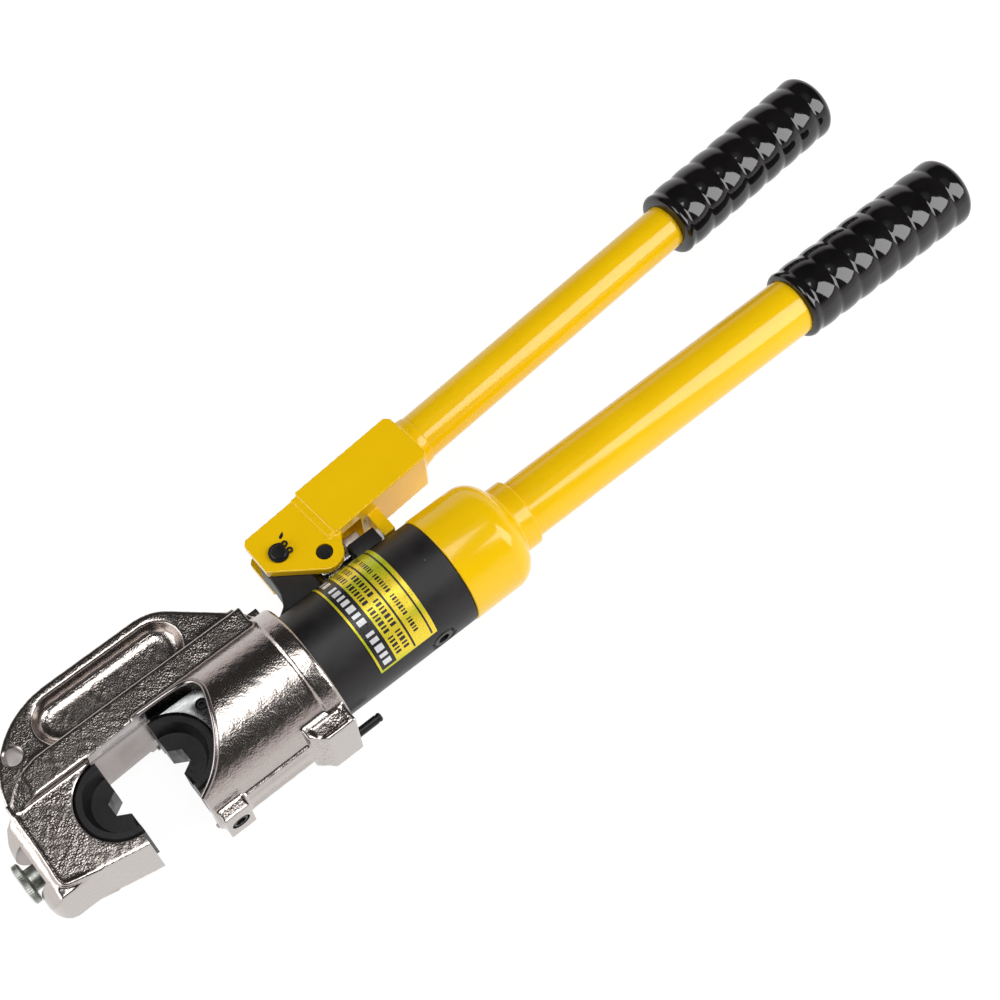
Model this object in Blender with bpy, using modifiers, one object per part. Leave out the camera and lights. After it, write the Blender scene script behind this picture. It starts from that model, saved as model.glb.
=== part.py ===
"""Hand-pumped hydraulic C-head crimping press.

The tool lies on its broad side. Tool coordinates are in millimetres: X runs along the
cylinder axis from the jaw to the handles, with 0 where the reservoir cap meets the cylinder,
Y points to the pump lever, and Z is up, across the flat sides of the jaw. ORIGIN moves them
to the row frame, whose origin is the centre of the bounding box's bottom.
"""
import math

import bmesh
import bpy
from mathutils import Matrix, Vector

MM = 0.001
GAP = 0.3
SIDES = 32

# Cylinder, handle and grips
CYL_R = 29.0
CYL_FRONT_X = -104.0
CHAMBER_R = 22.0
CHAMBER_END_X = -56.0
HANDLE_R = 16.0
HANDLE_GRIP_X = 233.5
HANDLE_END_X = 350.0
HANDLE_GRIP_R = 19.5
HANDLE_START_X = 33.0
GRIP_END = 12.0
COLLAR_R = 18.5
COLLAR_END_X = 50.0
CAP_R = 29.5
CAP_END_X = 40.0
SHOULDER = 13.0

# Head
HOUSING_R = 34.5
RIM_R = 36.0
HOUSING_FRONT_X = -157.0
HOUSING_REAR_X = -79.0
RIM_FRONT_X = -88.5
BORE_R = 27.3
JAW_FACE_X = -187.0
JAW_HALF = 18.5
JAW_SIDE_Y = -27.8
BAND_HALF = 22.0
BAND_INNER_Y = 22.9
BAND_OUTER_Y = 39.0
SPINE_HALF = 11.5
POCKET_R = 13.3
TIP_PLATE_X = -228.0
TIP_FACE_X = -233.0
EAR_X = -238.8
EAR_SLOT_HALF = 10.8
NOSE_X = -218.0

# Dies and ram
ANVIL_X = -185.3
RAM_DIE_X = -156.0
DIE_R = 21.0
DIE_HALF = 17.6
DIE_RING_R = 17.0
DIE_WEB_R = 14.5
DIE_WEB_HALF = 9.0
NOTCH_SIDE = 6.9
RAM_R = 27.0
RAM_HALF = 18.0
RAM_FACE_X = -154.3
RAM_REAR_X = -112.0
PISTON_R = 21.7
PISTON_REAR_X = -60.0
RAM_HOLLOW_R = 12.0
RAM_HOLLOW_X = -128.0

# Die lock at the tip
KNOB_X = -242.5
KNOB_R = 10.4
KNOB_THICK = 3.5
LOCK_PIN_R = 2.5

# Pump lever
LEVER_TILT = math.radians(4.7)
LEVER_Y = 61.9
LEVER_TUBE_R = 12.5
LEVER_TUBE_U = 8.3
LEVER_GRIP_U = 218.5
LEVER_GRIP_LENGTH = 115.5
LEVER_GRIP_R = 18.5
FULCRUM = (-57.0, 52.5)
PLUNGER = (-39.5, 39.2)
PIN_R = 4.0
CHEEK_HALF = 13.5
BOX_HALF = 15.0
CHANNEL_HALF = 8.8

# Release valve beside the plunger
BLOCK_X0 = -28.4
BLOCK_X1 = -13.0
BLOCK_TOP_Y = 36.0
BUTTON_X = -24.6
BUTTON_TOP_Y = 42.5

# Row frame
TIP_X = KNOB_X
REAR_BOSS_Y = -40.6
LEVER_TOP_Y = 107.2
ORIGIN = Vector(((TIP_X + HANDLE_END_X) / 2, (REAR_BOSS_Y + LEVER_TOP_Y) / 2, -RIM_R))

PARTS = "hydraulic_crimping_press"
CUTTERS = "cutters"


def clear_scene():
    for obj in list(bpy.data.objects):
        bpy.data.objects.remove(obj, do_unlink=True)
    for name in (PARTS, CUTTERS):
        collection = bpy.data.collections.new(name)
        bpy.context.scene.collection.children.link(collection)


def world(x, y, z):
    """A point of the tool in row coordinates, in metres."""
    return (Vector((x, y, z)) - ORIGIN) * MM


def material(name, color, roughness, metallic):
    mat = bpy.data.materials.get(name)
    if mat is None:
        mat = bpy.data.materials.new(name)
        mat.use_nodes = True
        shader = mat.node_tree.nodes["Principled BSDF"]
        shader.inputs["Base Color"].default_value = (*color, 1.0)
        shader.inputs["Roughness"].default_value = roughness
        shader.inputs["Metallic"].default_value = metallic
    return mat


def nickel(name):
    return material(name, (0.62, 0.58, 0.55), 0.22, 1.0)


def black_oxide(name):
    return material(name, (0.02, 0.02, 0.022), 0.4, 0.6)


def steel(name):
    return material(name, (0.42, 0.43, 0.42), 0.3, 1.0)


def zinc(name):
    return material(name, (0.36, 0.37, 0.34), 0.45, 1.0)


def yellow(name):
    return material(name, (0.83, 0.52, 0.01), 0.25, 0.0)


def satin_black(name):
    return material(name, (0.028, 0.026, 0.027), 0.45, 0.0)


def rubber(name):
    return material(name, (0.012, 0.012, 0.013), 0.18, 0.0)


def link(obj, collection):
    for old in list(obj.users_collection):
        old.objects.unlink(obj)
    bpy.data.collections[collection].objects.link(obj)


def add_mesh(name, bm, place):
    """A mesh object in the parts collection from bmesh data in millimetres."""
    bmesh.ops.scale(bm, vec=(MM, MM, MM), verts=bm.verts)
    mesh = bpy.data.meshes.new(name)
    bm.to_mesh(mesh)
    bm.free()
    mesh.shade_smooth()
    mesh.set_sharp_from_angle(angle=math.radians(35))
    obj = bpy.data.objects.new(name, mesh)
    obj.matrix_world = place
    link(obj, PARTS)
    return obj


def at(x, y, z, rotation=None):
    place = Matrix.Translation(world(x, y, z))
    return place @ rotation.to_4x4() if rotation else place


def turned(name, profile, start, direction, sides=SIDES):
    """A body of revolution. Profile points are (height, radius) along the direction.

    The outline is listed from the far end back to the start on its outer side. A solid one
    begins and ends on the axis, and a ring comes back along its inner side to its first point.
    """
    bm = bmesh.new()
    verts = [bm.verts.new((radius * MM, 0.0, height * MM)) for height, radius in profile]
    closed = profile[0][1] > 0.0 or profile[-1][1] > 0.0
    for first, second in zip(verts, verts[1:]):
        bm.edges.new((first, second))
    if closed:
        bm.edges.new((verts[-1], verts[0]))
    mesh = bpy.data.meshes.new(name)
    bm.to_mesh(mesh)
    bm.free()
    obj = bpy.data.objects.new(name, mesh)
    turn = Vector((0, 0, 1)).rotation_difference(Vector(direction)).to_matrix()
    obj.matrix_world = at(*start, turn)
    link(obj, PARTS)
    screw = obj.modifiers.new("turn", "SCREW")
    screw.angle = math.tau
    screw.steps = sides
    screw.render_steps = sides
    screw.use_merge_vertices = True
    screw.merge_threshold = 0.00001
    screw.use_smooth_shade = True
    return obj


def drum(name, start, direction, length, radius, sides=SIDES):
    """A plain closed cylinder from a start point along a direction."""
    bm = bmesh.new()
    bmesh.ops.create_cone(bm, cap_ends=True, segments=sides, radius1=radius, radius2=radius,
                          depth=length, matrix=Matrix.Translation((0, 0, length / 2)))
    turn = Vector((0, 0, 1)).rotation_difference(Vector(direction)).to_matrix()
    return add_mesh(name, bm, at(*start, turn))


def ring(name, start, direction, length, inner, outer, sides=SIDES):
    profile = [(length, outer), (0.0, outer), (0.0, inner), (length, inner)]
    return turned(name, profile, start, direction, sides)


def box(name, low, high, bevel=0.0):
    centre = [(a + b) / 2 for a, b in zip(low, high)]
    size = [b - a for a, b in zip(low, high)]
    bm = bmesh.new()
    bmesh.ops.create_cube(bm, size=1.0, matrix=Matrix.Diagonal((*size, 1.0)))
    obj = add_mesh(name, bm, at(*centre))
    if bevel:
        round_edges(obj, bevel)
    return obj


def round_edges(obj, width, segments=2):
    mod = obj.modifiers.new("round", "BEVEL")
    mod.width = width * MM
    mod.segments = segments
    mod.limit_method = "ANGLE"
    mod.angle_limit = math.radians(40)
    mod.miter_outer = "MITER_ARC"
    return obj


def arc(cx, cy, radius, start, end, steps):
    """Points on an arc in the XY plane, with angles in degrees from +X."""
    angles = [math.radians(start + (end - start) * i / steps) for i in range(steps + 1)]
    return [(cx + radius * math.cos(a), cy + radius * math.sin(a)) for a in angles]


def plate(name, outline, low, high):
    """A flat outline in XY, filled and extruded from z low to z high, as a mesh."""
    curve = bpy.data.curves.new(name, "CURVE")
    curve.dimensions = "2D"
    curve.fill_mode = "BOTH"
    curve.extrude = (high - low) / 2 * MM
    spline = curve.splines.new("POLY")
    spline.points.add(len(outline) - 1)
    for point, (x, y) in zip(spline.points, outline):
        point.co = (x * MM, y * MM, 0.0, 1.0)
    spline.use_cyclic_u = True
    drawn = bpy.data.objects.new(name + "_curve", curve)
    link(drawn, CUTTERS)
    drawn.matrix_world = at(0, 0, (low + high) / 2)
    bpy.context.view_layer.update()
    solid = drawn.evaluated_get(bpy.context.evaluated_depsgraph_get())
    mesh = bpy.data.meshes.new_from_object(solid)
    mesh.name = name
    bm = bmesh.new()
    bm.from_mesh(mesh)
    bmesh.ops.remove_doubles(bm, verts=bm.verts, dist=0.00001)
    bmesh.ops.dissolve_limit(bm, angle_limit=math.radians(0.5), verts=bm.verts, edges=bm.edges)
    bmesh.ops.recalc_face_normals(bm, faces=bm.faces)
    bm.to_mesh(mesh)
    bm.free()
    mesh.shade_smooth()
    mesh.set_sharp_from_angle(angle=math.radians(35))
    obj = bpy.data.objects.new(name, mesh)
    obj.matrix_world = drawn.matrix_world
    bpy.data.objects.remove(drawn, do_unlink=True)
    link(obj, PARTS)
    return obj


def combine(obj, other, operation):
    """Cut or join one body with another, which becomes a hidden construction body."""
    link(other, CUTTERS)
    other.hide_render = True
    other.display_type = "WIRE"
    mod = obj.modifiers.new(operation.lower(), "BOOLEAN")
    mod.operation = operation
    mod.solver = "EXACT"
    mod.object = other
    return obj


def cut(obj, *others):
    for other in others:
        combine(obj, other, "DIFFERENCE")
    return obj


def join(obj, *others):
    for other in others:
        combine(obj, other, "UNION")
    return obj


def finish(obj, mat):
    obj.data.materials.clear()
    obj.data.materials.append(mat)
    return obj


def lever_point(u, v):
    """A point of the pump lever: u along its tube's axis and v across it."""
    c, s = math.cos(LEVER_TILT), math.sin(LEVER_TILT)
    return (u * c - v * s, LEVER_Y + u * s + v * c)


def helix(name, start, direction, length, radius, wire, turns):
    """A coil spring as a curve with a round section."""
    steps = int(turns * 8)
    curve = bpy.data.curves.new(name, "CURVE")
    curve.dimensions = "3D"
    curve.bevel_depth = wire * MM
    curve.bevel_resolution = 0
    curve.use_fill_caps = True
    spline = curve.splines.new("POLY")
    spline.points.add(steps)
    for i, point in enumerate(spline.points):
        angle = math.tau * turns * i / steps
        height = wire + (length - 2 * wire) * i / steps
        point.co = (radius * MM * math.cos(angle), radius * MM * math.sin(angle), height * MM, 1.0)
    obj = bpy.data.objects.new(name, curve)
    turn = Vector((0, 0, 1)).rotation_difference(Vector(direction)).to_matrix()
    obj.matrix_world = at(*start, turn)
    link(obj, PARTS)
    return obj


# ---------------------------------------------------------------- head

def spine_outline():
    """Outer web of the C: over the top of the head from the tip to the housing."""
    front = arc(-182.0, 23.5, 46.8, 180.0, 90.0, 10)
    back = arc(-132.0, 45.3, 25.0, 90.0, 50.0, 4)
    return [(TIP_PLATE_X - 0.8, 5.0)] + front + back + [(-89.0, 40.5), (-82.5, 30.0), (-82.5, 5.0)]


def band_outline():
    """The thick rib inside the C: rounded off at the tip, and wide enough to reach the housing."""
    inner_x = JAW_FACE_X + 0.5
    tip = [(TIP_PLATE_X + 2.0, BAND_INNER_Y), (TIP_PLATE_X + 2.0, 26.0), (-224.6, 29.6),
           (-220.2, 33.2), (-213.0, 36.9), (-205.0, BAND_OUTER_Y)]
    return tip + [(-89.5, BAND_OUTER_Y), (-89.5, 5.0), (-160.0, 5.0), (-160.0, 20.0),
                  (inner_x, 20.0), (inner_x, BAND_INNER_Y)]


def mouth_outline():
    """The C's opening seen along Z, with the window that it runs into in the housing."""
    corner = arc(-132.2, 17.4, 6.0, 90.0, 0.0, 4)
    lip = [(-127.6, 8.0), (-130.0, 1.0), (-133.5, -7.0), (-139.0, -15.0), (-146.5, -22.0)]
    return ([(JAW_FACE_X, -60.0), (JAW_FACE_X, BAND_INNER_Y)] + corner + lip
            + [(HOUSING_FRONT_X, -26.8), (HOUSING_FRONT_X, -60.0)])


def jaw_outline():
    lobe = arc(EAR_X + 6.0, -16.4, 6.0, 180.0, 270.0, 5)
    slope = (JAW_SIDE_Y + 22.4) / (JAW_FACE_X + 214.0)
    inside_x = JAW_FACE_X + 3.0
    return ([(inside_x, 29.2), (-228.6, 29.2), (-228.6, 23.6), (-233.6, 21.4), (-237.4, 16.8),
             (EAR_X, 12.6)] + lobe + [(-214.0, -22.4), (inside_x, JAW_SIDE_Y + 3.0 * slope)])


def make_head():
    start = HOUSING_FRONT_X - 3.0
    head = turned("head_yoke", [
        (HOUSING_REAR_X - start, 0.0), (HOUSING_REAR_X - start, RIM_R - 1.2),
        (HOUSING_REAR_X - start - 1.2, RIM_R), (RIM_FRONT_X - start, RIM_R),
        (RIM_FRONT_X - start - 1.0, HOUSING_R), (0.0, HOUSING_R), (0.0, 0.0)],
        (start, 0, 0), (1, 0, 0))
    web = round_edges(plate("spine_web", spine_outline(), -SPINE_HALF, SPINE_HALF), 3.0)
    cut(web, pocket_cutter("pocket_low", -1), pocket_cutter("pocket_high", 1))
    band = plate("spine_band", band_outline(), -BAND_HALF, BAND_HALF)
    round_edges(band, 1.5)
    jaw = round_edges(plate("jaw", jaw_outline(), -JAW_HALF, JAW_HALF), 1.5)
    waste = box("nose_waste", (-260.0, -60.0, -30.0), (NOSE_X, 22.9, 30.0))
    cut(jaw, cut(waste, drum("nose", (NOSE_X, -70.0, 0), (0, 1, 0), 140.0, NOSE_X - EAR_X, 64)))
    join(head, web, band, jaw)
    front_boss = box("front_boss", (-155.5, -39.3, -12.0), (-141.5, -25.0, 12.0), 1.5)
    rear_boss = plate("rear_boss", [(-80.5, REAR_BOSS_Y), (-96.0, REAR_BOSS_Y), (-103.5, -34.0),
                                    (-103.5, -20.0), (-80.5, -20.0)], -20.0, 20.0)
    round_edges(rear_boss, 2.0)
    flange = box("flange", (-145.0, -34.7, -10.5), (-98.0, -26.0, 10.5), 1.0)
    key = box("housing_key", (-87.5, 28.0, -4.0), (-81.0, 41.0, 4.0), 0.8)
    join(head, front_boss, rear_boss, flange, key)
    ear_gap = box("ear_gap", (EAR_X - 5, -EAR_SLOT_HALF, -30), (TIP_FACE_X, EAR_SLOT_HALF, 30))
    mouth = plate("mouth", mouth_outline(), -45.0, 45.0)
    bore = drum("ram_bore", (JAW_FACE_X + 0.4, 0, 0), (1, 0, 0), 83.0, BORE_R)
    socket = drum("cylinder_socket", (-104.3, 0, 0), (1, 0, 0), 40.0, CYL_R + GAP)
    seat = drum("anvil_seat", (ANVIL_X, 0, -30), (0, 0, 1), 60.0, DIE_R + GAP)
    eye = drum("spine_hole", (-212.5, 50.0, -30), (0, 0, 1), 60.0, 4.5, 20)
    lock_bore = drum("lock_bore", (-245, 0, 0), (1, 0, 0), 50.0, LOCK_PIN_R + GAP, 16)
    lock_chamber = drum("lock_chamber", (-245, 0, 0), (1, 0, 0), 27.0, 6.3, 24)
    screw_bore = drum("set_screw_bore", (-148.5, -50, 0), (0, 1, 0), 17.0, 4.8, 20)
    pin_bore = drum("rear_pin_bore", (-97.5, -36.0, -12.0), (1, 0, 0), 30.0, 2.6, 16)
    cut(head, mouth, bore, socket, seat, eye, screw_bore, pin_bore)
    cut(head, lock_chamber, lock_bore, ear_gap)
    return finish(head, nickel("head_nickel"))


def pocket_cutter(name, side):
    """The long hollow in each side of the web, which ends against the rib."""
    outline = (arc(-130.6, 51.5, POCKET_R, -90.0, 90.0, 10)
               + arc(-185.2, 51.5, POCKET_R, 90.0, 270.0, 10))
    low, high = sorted((side * 3.0, side * 20.0))
    return plate(name, outline, low, high)


def die(name, face_x, side):
    """A half-round die: side is +1 where its body lies towards +X of its parting face."""
    half = turned(name, [
        (DIE_HALF + DIE_WEB_HALF, 0.0), (DIE_HALF + DIE_WEB_HALF, DIE_WEB_R),
        (2 * DIE_HALF, DIE_RING_R), (2 * DIE_HALF, DIE_R - 1.2), (2 * DIE_HALF - 1.2, DIE_R),
        (1.2, DIE_R), (0.0, DIE_R - 1.2), (0.0, DIE_RING_R),
        (DIE_HALF - DIE_WEB_HALF, DIE_WEB_R), (DIE_HALF - DIE_WEB_HALF, 0.0)],
        (face_x, 0, -DIE_HALF), (0, 0, 1), 40)
    far = face_x - side * 40.0
    low, high = sorted((face_x, far))
    cut(half, box(name + "_halving", (low, -40, -40), (high, 40, 40)))
    depth = NOTCH_SIDE * math.sqrt(3) / 2
    notch = plate(name + "_notch", [
        (face_x - side * 5.0, -NOTCH_SIDE), (face_x, -NOTCH_SIDE),
        (face_x + side * depth, -NOTCH_SIDE / 2), (face_x + side * depth, NOTCH_SIDE / 2),
        (face_x, NOTCH_SIDE), (face_x - side * 5.0, NOTCH_SIDE)], -30, 30)
    cut(half, notch)
    return finish(half, black_oxide(name + "_oxide"))


def make_dies():
    anvil = die("anvil_die", ANVIL_X, -1)
    cut(anvil, drum("anvil_pin_hole", (-210, 0, 0), (1, 0, 0), 8.5, LOCK_PIN_R + GAP, 16))
    die("ram_die", RAM_DIE_X, 1)


# ---------------------------------------------------------------- ram

def make_ram():
    ram = turned("ram", [
        (PISTON_REAR_X - RAM_FACE_X, 0.0), (PISTON_REAR_X - RAM_FACE_X, PISTON_R),
        (RAM_REAR_X - RAM_FACE_X, PISTON_R), (RAM_REAR_X - RAM_FACE_X, RAM_R),
        (0.0, RAM_R), (0.0, 0.0)], (RAM_FACE_X, 0, 0), (1, 0, 0))
    for side in (-1, 1):
        low, high = sorted((side * RAM_HALF, side * 40.0))
        cut(ram, box("ram_flat_%d" % (side + 1), (-160, -40, low), (-116.5, 40, high)))
    cut(ram,
        drum("ram_seat", (RAM_DIE_X, 0, -40), (0, 0, 1), 80.0, DIE_R + GAP, 48),
        drum("ram_hollow", (RAM_HOLLOW_X, 0, 0), (1, 0, 0), 100.0, RAM_HOLLOW_R, 32),
        drum("ram_screw_hole", (-130.8, 12.0, 12.0), (0, 0, 1), 20.0, 3.1, 16),
        ring("seal_groove", (-68.0, 0, 0), (1, 0, 0), 4.0, 18.5, 26.0, 24),
        ring("guide_groove", (-76.0, 0, 0), (1, 0, 0), 4.5, 18.5, 26.0, 24))
    finish(ram, steel("ram_steel"))
    finish(ring("piston_seal", (-67.7, 0, 0), (1, 0, 0), 3.4, 18.8, 21.6, 24), rubber("seal_rubber"))
    finish(ring("piston_guide_ring", (-75.7, 0, 0), (1, 0, 0), 3.9, 18.8, 21.6, 24),
           material("guide_resin", (0.55, 0.5, 0.38), 0.5, 0.0))
    screw = drum("ram_die_screw", (-130.8, 12.0, 12.3), (0, 0, 1), 5.2, 2.8, 20)
    cut(screw, drum("ram_screw_hex", (-130.8, 12.0, 16.0), (0, 0, 1), 5.0, 1.5, 6))
    finish(screw, black_oxide("screw_oxide"))
    post = turned("ram_spring_post", [(14.0, 0.0), (14.0, 5.0), (11.5, 7.0), (9.0, 7.0),
                                      (9.0, 4.0), (0.3, 4.0), (0.3, 0.0)],
                  (CHAMBER_END_X, 0, 0), (-1, 0, 0), 24)
    finish(post, steel("post_steel"))
    spring = helix("ram_return_spring", (-127.0, 0, 0), (1, 0, 0), 56.0, 8.6, 1.3, 8)
    finish(spring, steel("return_spring_steel"))


# ---------------------------------------------------------------- die lock and rear pin

def make_die_lock():
    knob = turned("die_lock_knob", [
        (KNOB_THICK + 6.2, 0.0), (KNOB_THICK + 6.2, 5.8), (KNOB_THICK, 5.8),
        (KNOB_THICK, KNOB_R - 0.6), (KNOB_THICK - 0.6, KNOB_R), (0.6, KNOB_R),
        (0.0, KNOB_R - 0.6), (0.0, 0.0)], (KNOB_X, 0, 0), (1, 0, 0), 24)
    cut(knob, drum("knob_bore", (KNOB_X + 2.0, 0, 0), (1, 0, 0), 20.0, LOCK_PIN_R + GAP, 16))
    finish(knob, zinc("knob_zinc"))
    pin = turned("die_lock_pin", [
        (38.0, 0.0), (38.0, LOCK_PIN_R - 0.8), (37.2, LOCK_PIN_R), (20.2, LOCK_PIN_R),
        (20.2, 4.2), (18.0, 4.2), (18.0, LOCK_PIN_R), (0.0, LOCK_PIN_R), (0.0, 0.0)],
        (KNOB_X + 2.3, 0, 0), (1, 0, 0), 16)
    finish(pin, steel("lock_pin_steel"))
    spring = helix("die_lock_spring", (-232.0, 0, 0), (1, 0, 0), 9.3, 4.2, 0.5, 4)
    finish(spring, steel("lock_spring_steel"))


def make_rear_pin():
    pin = turned("rear_lock_pin", [
        (29.0, 0.0), (29.0, 1.8), (28.5, 2.3), (0.5, 2.3), (0.0, 1.8), (0.0, 0.0)],
        (-95.0, -36.0, -12.0), (1, 0, 0), 16)
    finish(pin, black_oxide("rear_pin_oxide"))
    screw = drum("front_boss_screw", (-148.5, -39.0, 0), (0, 1, 0), 5.5, 4.5, 20)
    cut(screw, drum("boss_screw_hex", (-148.5, -45.0, 0), (0, 1, 0), 9.0, 2.6, 6))
    finish(screw, black_oxide("boss_screw_oxide"))


# ---------------------------------------------------------------- cylinder and reservoir

def make_cylinder():
    body = turned("hydraulic_cylinder", [
        (14.0 - CYL_FRONT_X, 0.0), (14.0 - CYL_FRONT_X, 24.0), (-CYL_FRONT_X, 24.0),
        (-CYL_FRONT_X, CYL_R), (0.0, CYL_R), (0.0, 0.0)], (CYL_FRONT_X, 0, 0), (1, 0, 0), 40)
    fx, fy = FULCRUM
    bracket = plate("fulcrum_bracket",
                    [(-78.5, 20.0), (-76.0, 28.0), (-71.0, 31.5), (-68.3, 37.5), (-67.5, 46.0)]
                    + arc(fx, fy, 11.0, 170.0, 30.0, 7)
                    + [(-49.5, 46.0), (-49.5, 20.0)], -8.0, 8.0)
    round_edges(bracket, 1.0)
    join(body, bracket)
    px = PLUNGER[0]
    chamber = drum("chamber", (CYL_FRONT_X - 5, 0, 0), (1, 0, 0),
                   CHAMBER_END_X - CYL_FRONT_X + 5, CHAMBER_R)
    spot = drum("gland_spotface", (px, 27.3, 0), (0, 1, 0), 12.0, 9.2, 32)
    pump_bore = drum("pump_bore", (px, -6.0, 0), (0, 1, 0), 50.0, 5.8, 24)
    gland_thread = drum("gland_thread", (px, 20.0, 0), (0, 1, 0), 20.0, 7.3, 24)
    pin_hole = drum("fulcrum_hole", (fx, fy, -20), (0, 0, 1), 40.0, PIN_R + GAP, 24)
    plug_hole = drum("side_plug_hole", (-20.5, -40, 0), (0, 1, 0), 30.0, 6.4, 24)
    stem_hole = drum("release_stem_hole", (BUTTON_X, 14.0, 0), (0, 1, 0), 30.0, 2.8, 16)
    feed = drum("feed_bore", (-30.0, 0, -8), (1, 0, 0), 50.0, 3.0, 16)
    post_hole = drum("outlet_bore", (CHAMBER_END_X - 10, -14.0, 0), (1, 0, 0), 24.0, 2.0, 12)
    cut(body, chamber, pump_bore, gland_thread, spot, pin_hole, plug_hole, stem_hole, feed)
    cut(body, post_hole)
    finish(body, satin_black("cylinder_black"))
    plug = turned("side_plug", [(9.0, 0.0), (9.0, 6.1), (0.5, 6.1), (0.0, 5.6), (0.0, 0.0)],
                  (-20.5, -28.6, 0), (0, 1, 0), 24)
    cut(plug, drum("plug_hex", (-20.5, -35.0, 0), (0, 1, 0), 9.5, 3.0, 6))
    finish(plug, black_oxide("plug_oxide"))
    ball = bmesh.new()
    bmesh.ops.create_uvsphere(ball, u_segments=12, v_segments=8, radius=2.4)
    finish(add_mesh("inlet_check_ball", ball, at(-26.0, 0, -8)), steel("ball_steel"))


def make_label():
    """A thin curved plate of plain stripes, wrapped round the cylinder's upper side."""
    inner = CYL_R + GAP
    sheet = ring("label_plate", (-56.5, 0, 0), (1, 0, 0), 33.5, inner, inner + 0.3, 64)
    span = plate("label_span", [(-70, -27.5), (-10, -27.5), (-10, 27.0), (-70, 27.0)], 2.0, 50.0)
    combine(sheet, span, "INTERSECT")
    finish(sheet, material("label_yellow", (0.6, 0.6, 0.05), 0.35, 0.0))


def make_reservoir():
    cap = turned("reservoir_cap",
                 [(COLLAR_END_X, HANDLE_R + GAP), (COLLAR_END_X, COLLAR_R - 1.0),
                  (COLLAR_END_X - 1.0, COLLAR_R)]
                 + [(x, r) for r, x in
                    arc(COLLAR_R + 1.5, CAP_END_X + 1.5, 1.5, 180.0, 270.0, 1)]
                 + [(x, r) for r, x in arc(CAP_R - SHOULDER, CAP_END_X - SHOULDER, SHOULDER, 72.0, 0.0, 5)]
                 + [(GAP + 0.8, CAP_R), (GAP, CAP_R - 0.8), (GAP, 24.3), (15.0, 24.3),
                    (20.0, 22.0), (28.0, 22.0), (32.0, HANDLE_R + GAP)], (0, 0, 0), (1, 0, 0), 40)
    finish(cap, yellow("cap_yellow"))
    tube = ring("handle_tube", (HANDLE_START_X, 0, 0), (1, 0, 0),
                HANDLE_END_X - GRIP_END - HANDLE_START_X, 14.2, HANDLE_R)
    finish(tube, yellow("handle_yellow"))
    bladder = turned("oil_bladder", [(180.0, 0.0), (180.0, 9.0), (176.0, 13.0), (4.0, 13.0),
                                     (0.0, 12.0), (0.0, 10.5), (4.0, 11.5), (174.0, 11.5),
                                     (177.0, 8.0), (177.0, 0.0)], (17.0, 0, 0), (1, 0, 0), 24)
    finish(bladder, rubber("bladder_rubber"))
    length = HANDLE_END_X - HANDLE_GRIP_X
    grip("handle_grip", (HANDLE_GRIP_X, 0, 0), (1, 0, 0), length, HANDLE_GRIP_R, HANDLE_R)


def grip(name, start, direction, length, outer, bore):
    profile = [(length, 0.0)]
    profile += [(x, r) for r, x in arc(outer - 6.0, length - 6.0, 6.0, 90.0, 0.0, 3)]
    profile += [(x, r) for r, x in arc(outer - 3.0, 3.0, 3.0, 0.0, -90.0, 2)]
    depth = length - GRIP_END + GAP
    profile += [(0.0, bore + GAP), (depth, bore + GAP), (depth, 0.0)]
    return finish(turned(name, profile, start, direction), rubber(name + "_rubber"))


# ---------------------------------------------------------------- pump

def make_pump():
    px, py = PLUNGER
    nut = drum("plunger_gland_nut", (px, 20.3, 0), (0, 1, 0), 8.5, 7.0, 20)
    join(nut, drum("gland_hex", (px, 27.6, 0), (0, 1, 0), 2.6, 8.6, 6))
    cut(nut, drum("gland_bore", (px, 0, 0), (0, 1, 0), 50.0, 5.8, 20))
    finish(nut, nickel("gland_nickel"))
    plunger = drum("pump_plunger", (px, 0.0, 0), (0, 1, 0), 35.0, 5.5, 24)
    slot_right = -35.0 + PIN_R + 0.3
    slot_left = px - PIN_R - 0.3
    head = box("plunger_head", (slot_left - 3.0, 31.0, -7.5), (-28.7, 47.0, 7.5), 1.0)
    join(plunger, head)
    cut(plunger, box("plunger_slot", (slot_left, py - 4.9, -20), (slot_right, py + 4.9, 20)))
    finish(plunger, steel("plunger_steel"))
    block = box("valve_block", (BLOCK_X0, 20.0, -10.5), (BLOCK_X1, BLOCK_TOP_Y, 10.5), 0.6)
    cut(block, drum("block_saddle", (-60, 0, 0), (1, 0, 0), 80.0, CYL_R + GAP, 48),
        drum("block_bore", (BUTTON_X, 10, 0), (0, 1, 0), 40.0, 2.8, 16),
        drum("block_counterbore", (BUTTON_X, 31.5, 0), (0, 1, 0), 40.0, 3.6, 20))
    finish(block, satin_black("block_black"))
    button = drum("release_button", (BUTTON_X, 38.2, 0), (0, 1, 0), BUTTON_TOP_Y - 38.2, 4.2, 6)
    round_edges(button, 0.4, 1)
    join(button, drum("button_stem", (BUTTON_X, 20.0, 0), (0, 1, 0), 20.0, 2.0, 16))
    finish(button, nickel("button_nickel"))
    spring = helix("release_spring", (BUTTON_X, 31.8, 0), (0, 1, 0), 6.1, 2.85, 0.4, 4)
    finish(spring, steel("release_spring_steel"))


def fork_outline():
    px, py = PLUNGER
    box_bottom = [lever_point(26.0, -15.5), lever_point(-27.0, -15.5)]
    eye = arc(px, py, 9.5, -10.0, -127.0, 8)
    front = [(-67.6, 48.2), (-67.6, 66.8), (-65.6, 69.0)]
    top = [lever_point(-36.0, 12.4), lever_point(-32.0, 12.8), lever_point(26.0, 12.8)]
    return box_bottom + eye + front + top


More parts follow.
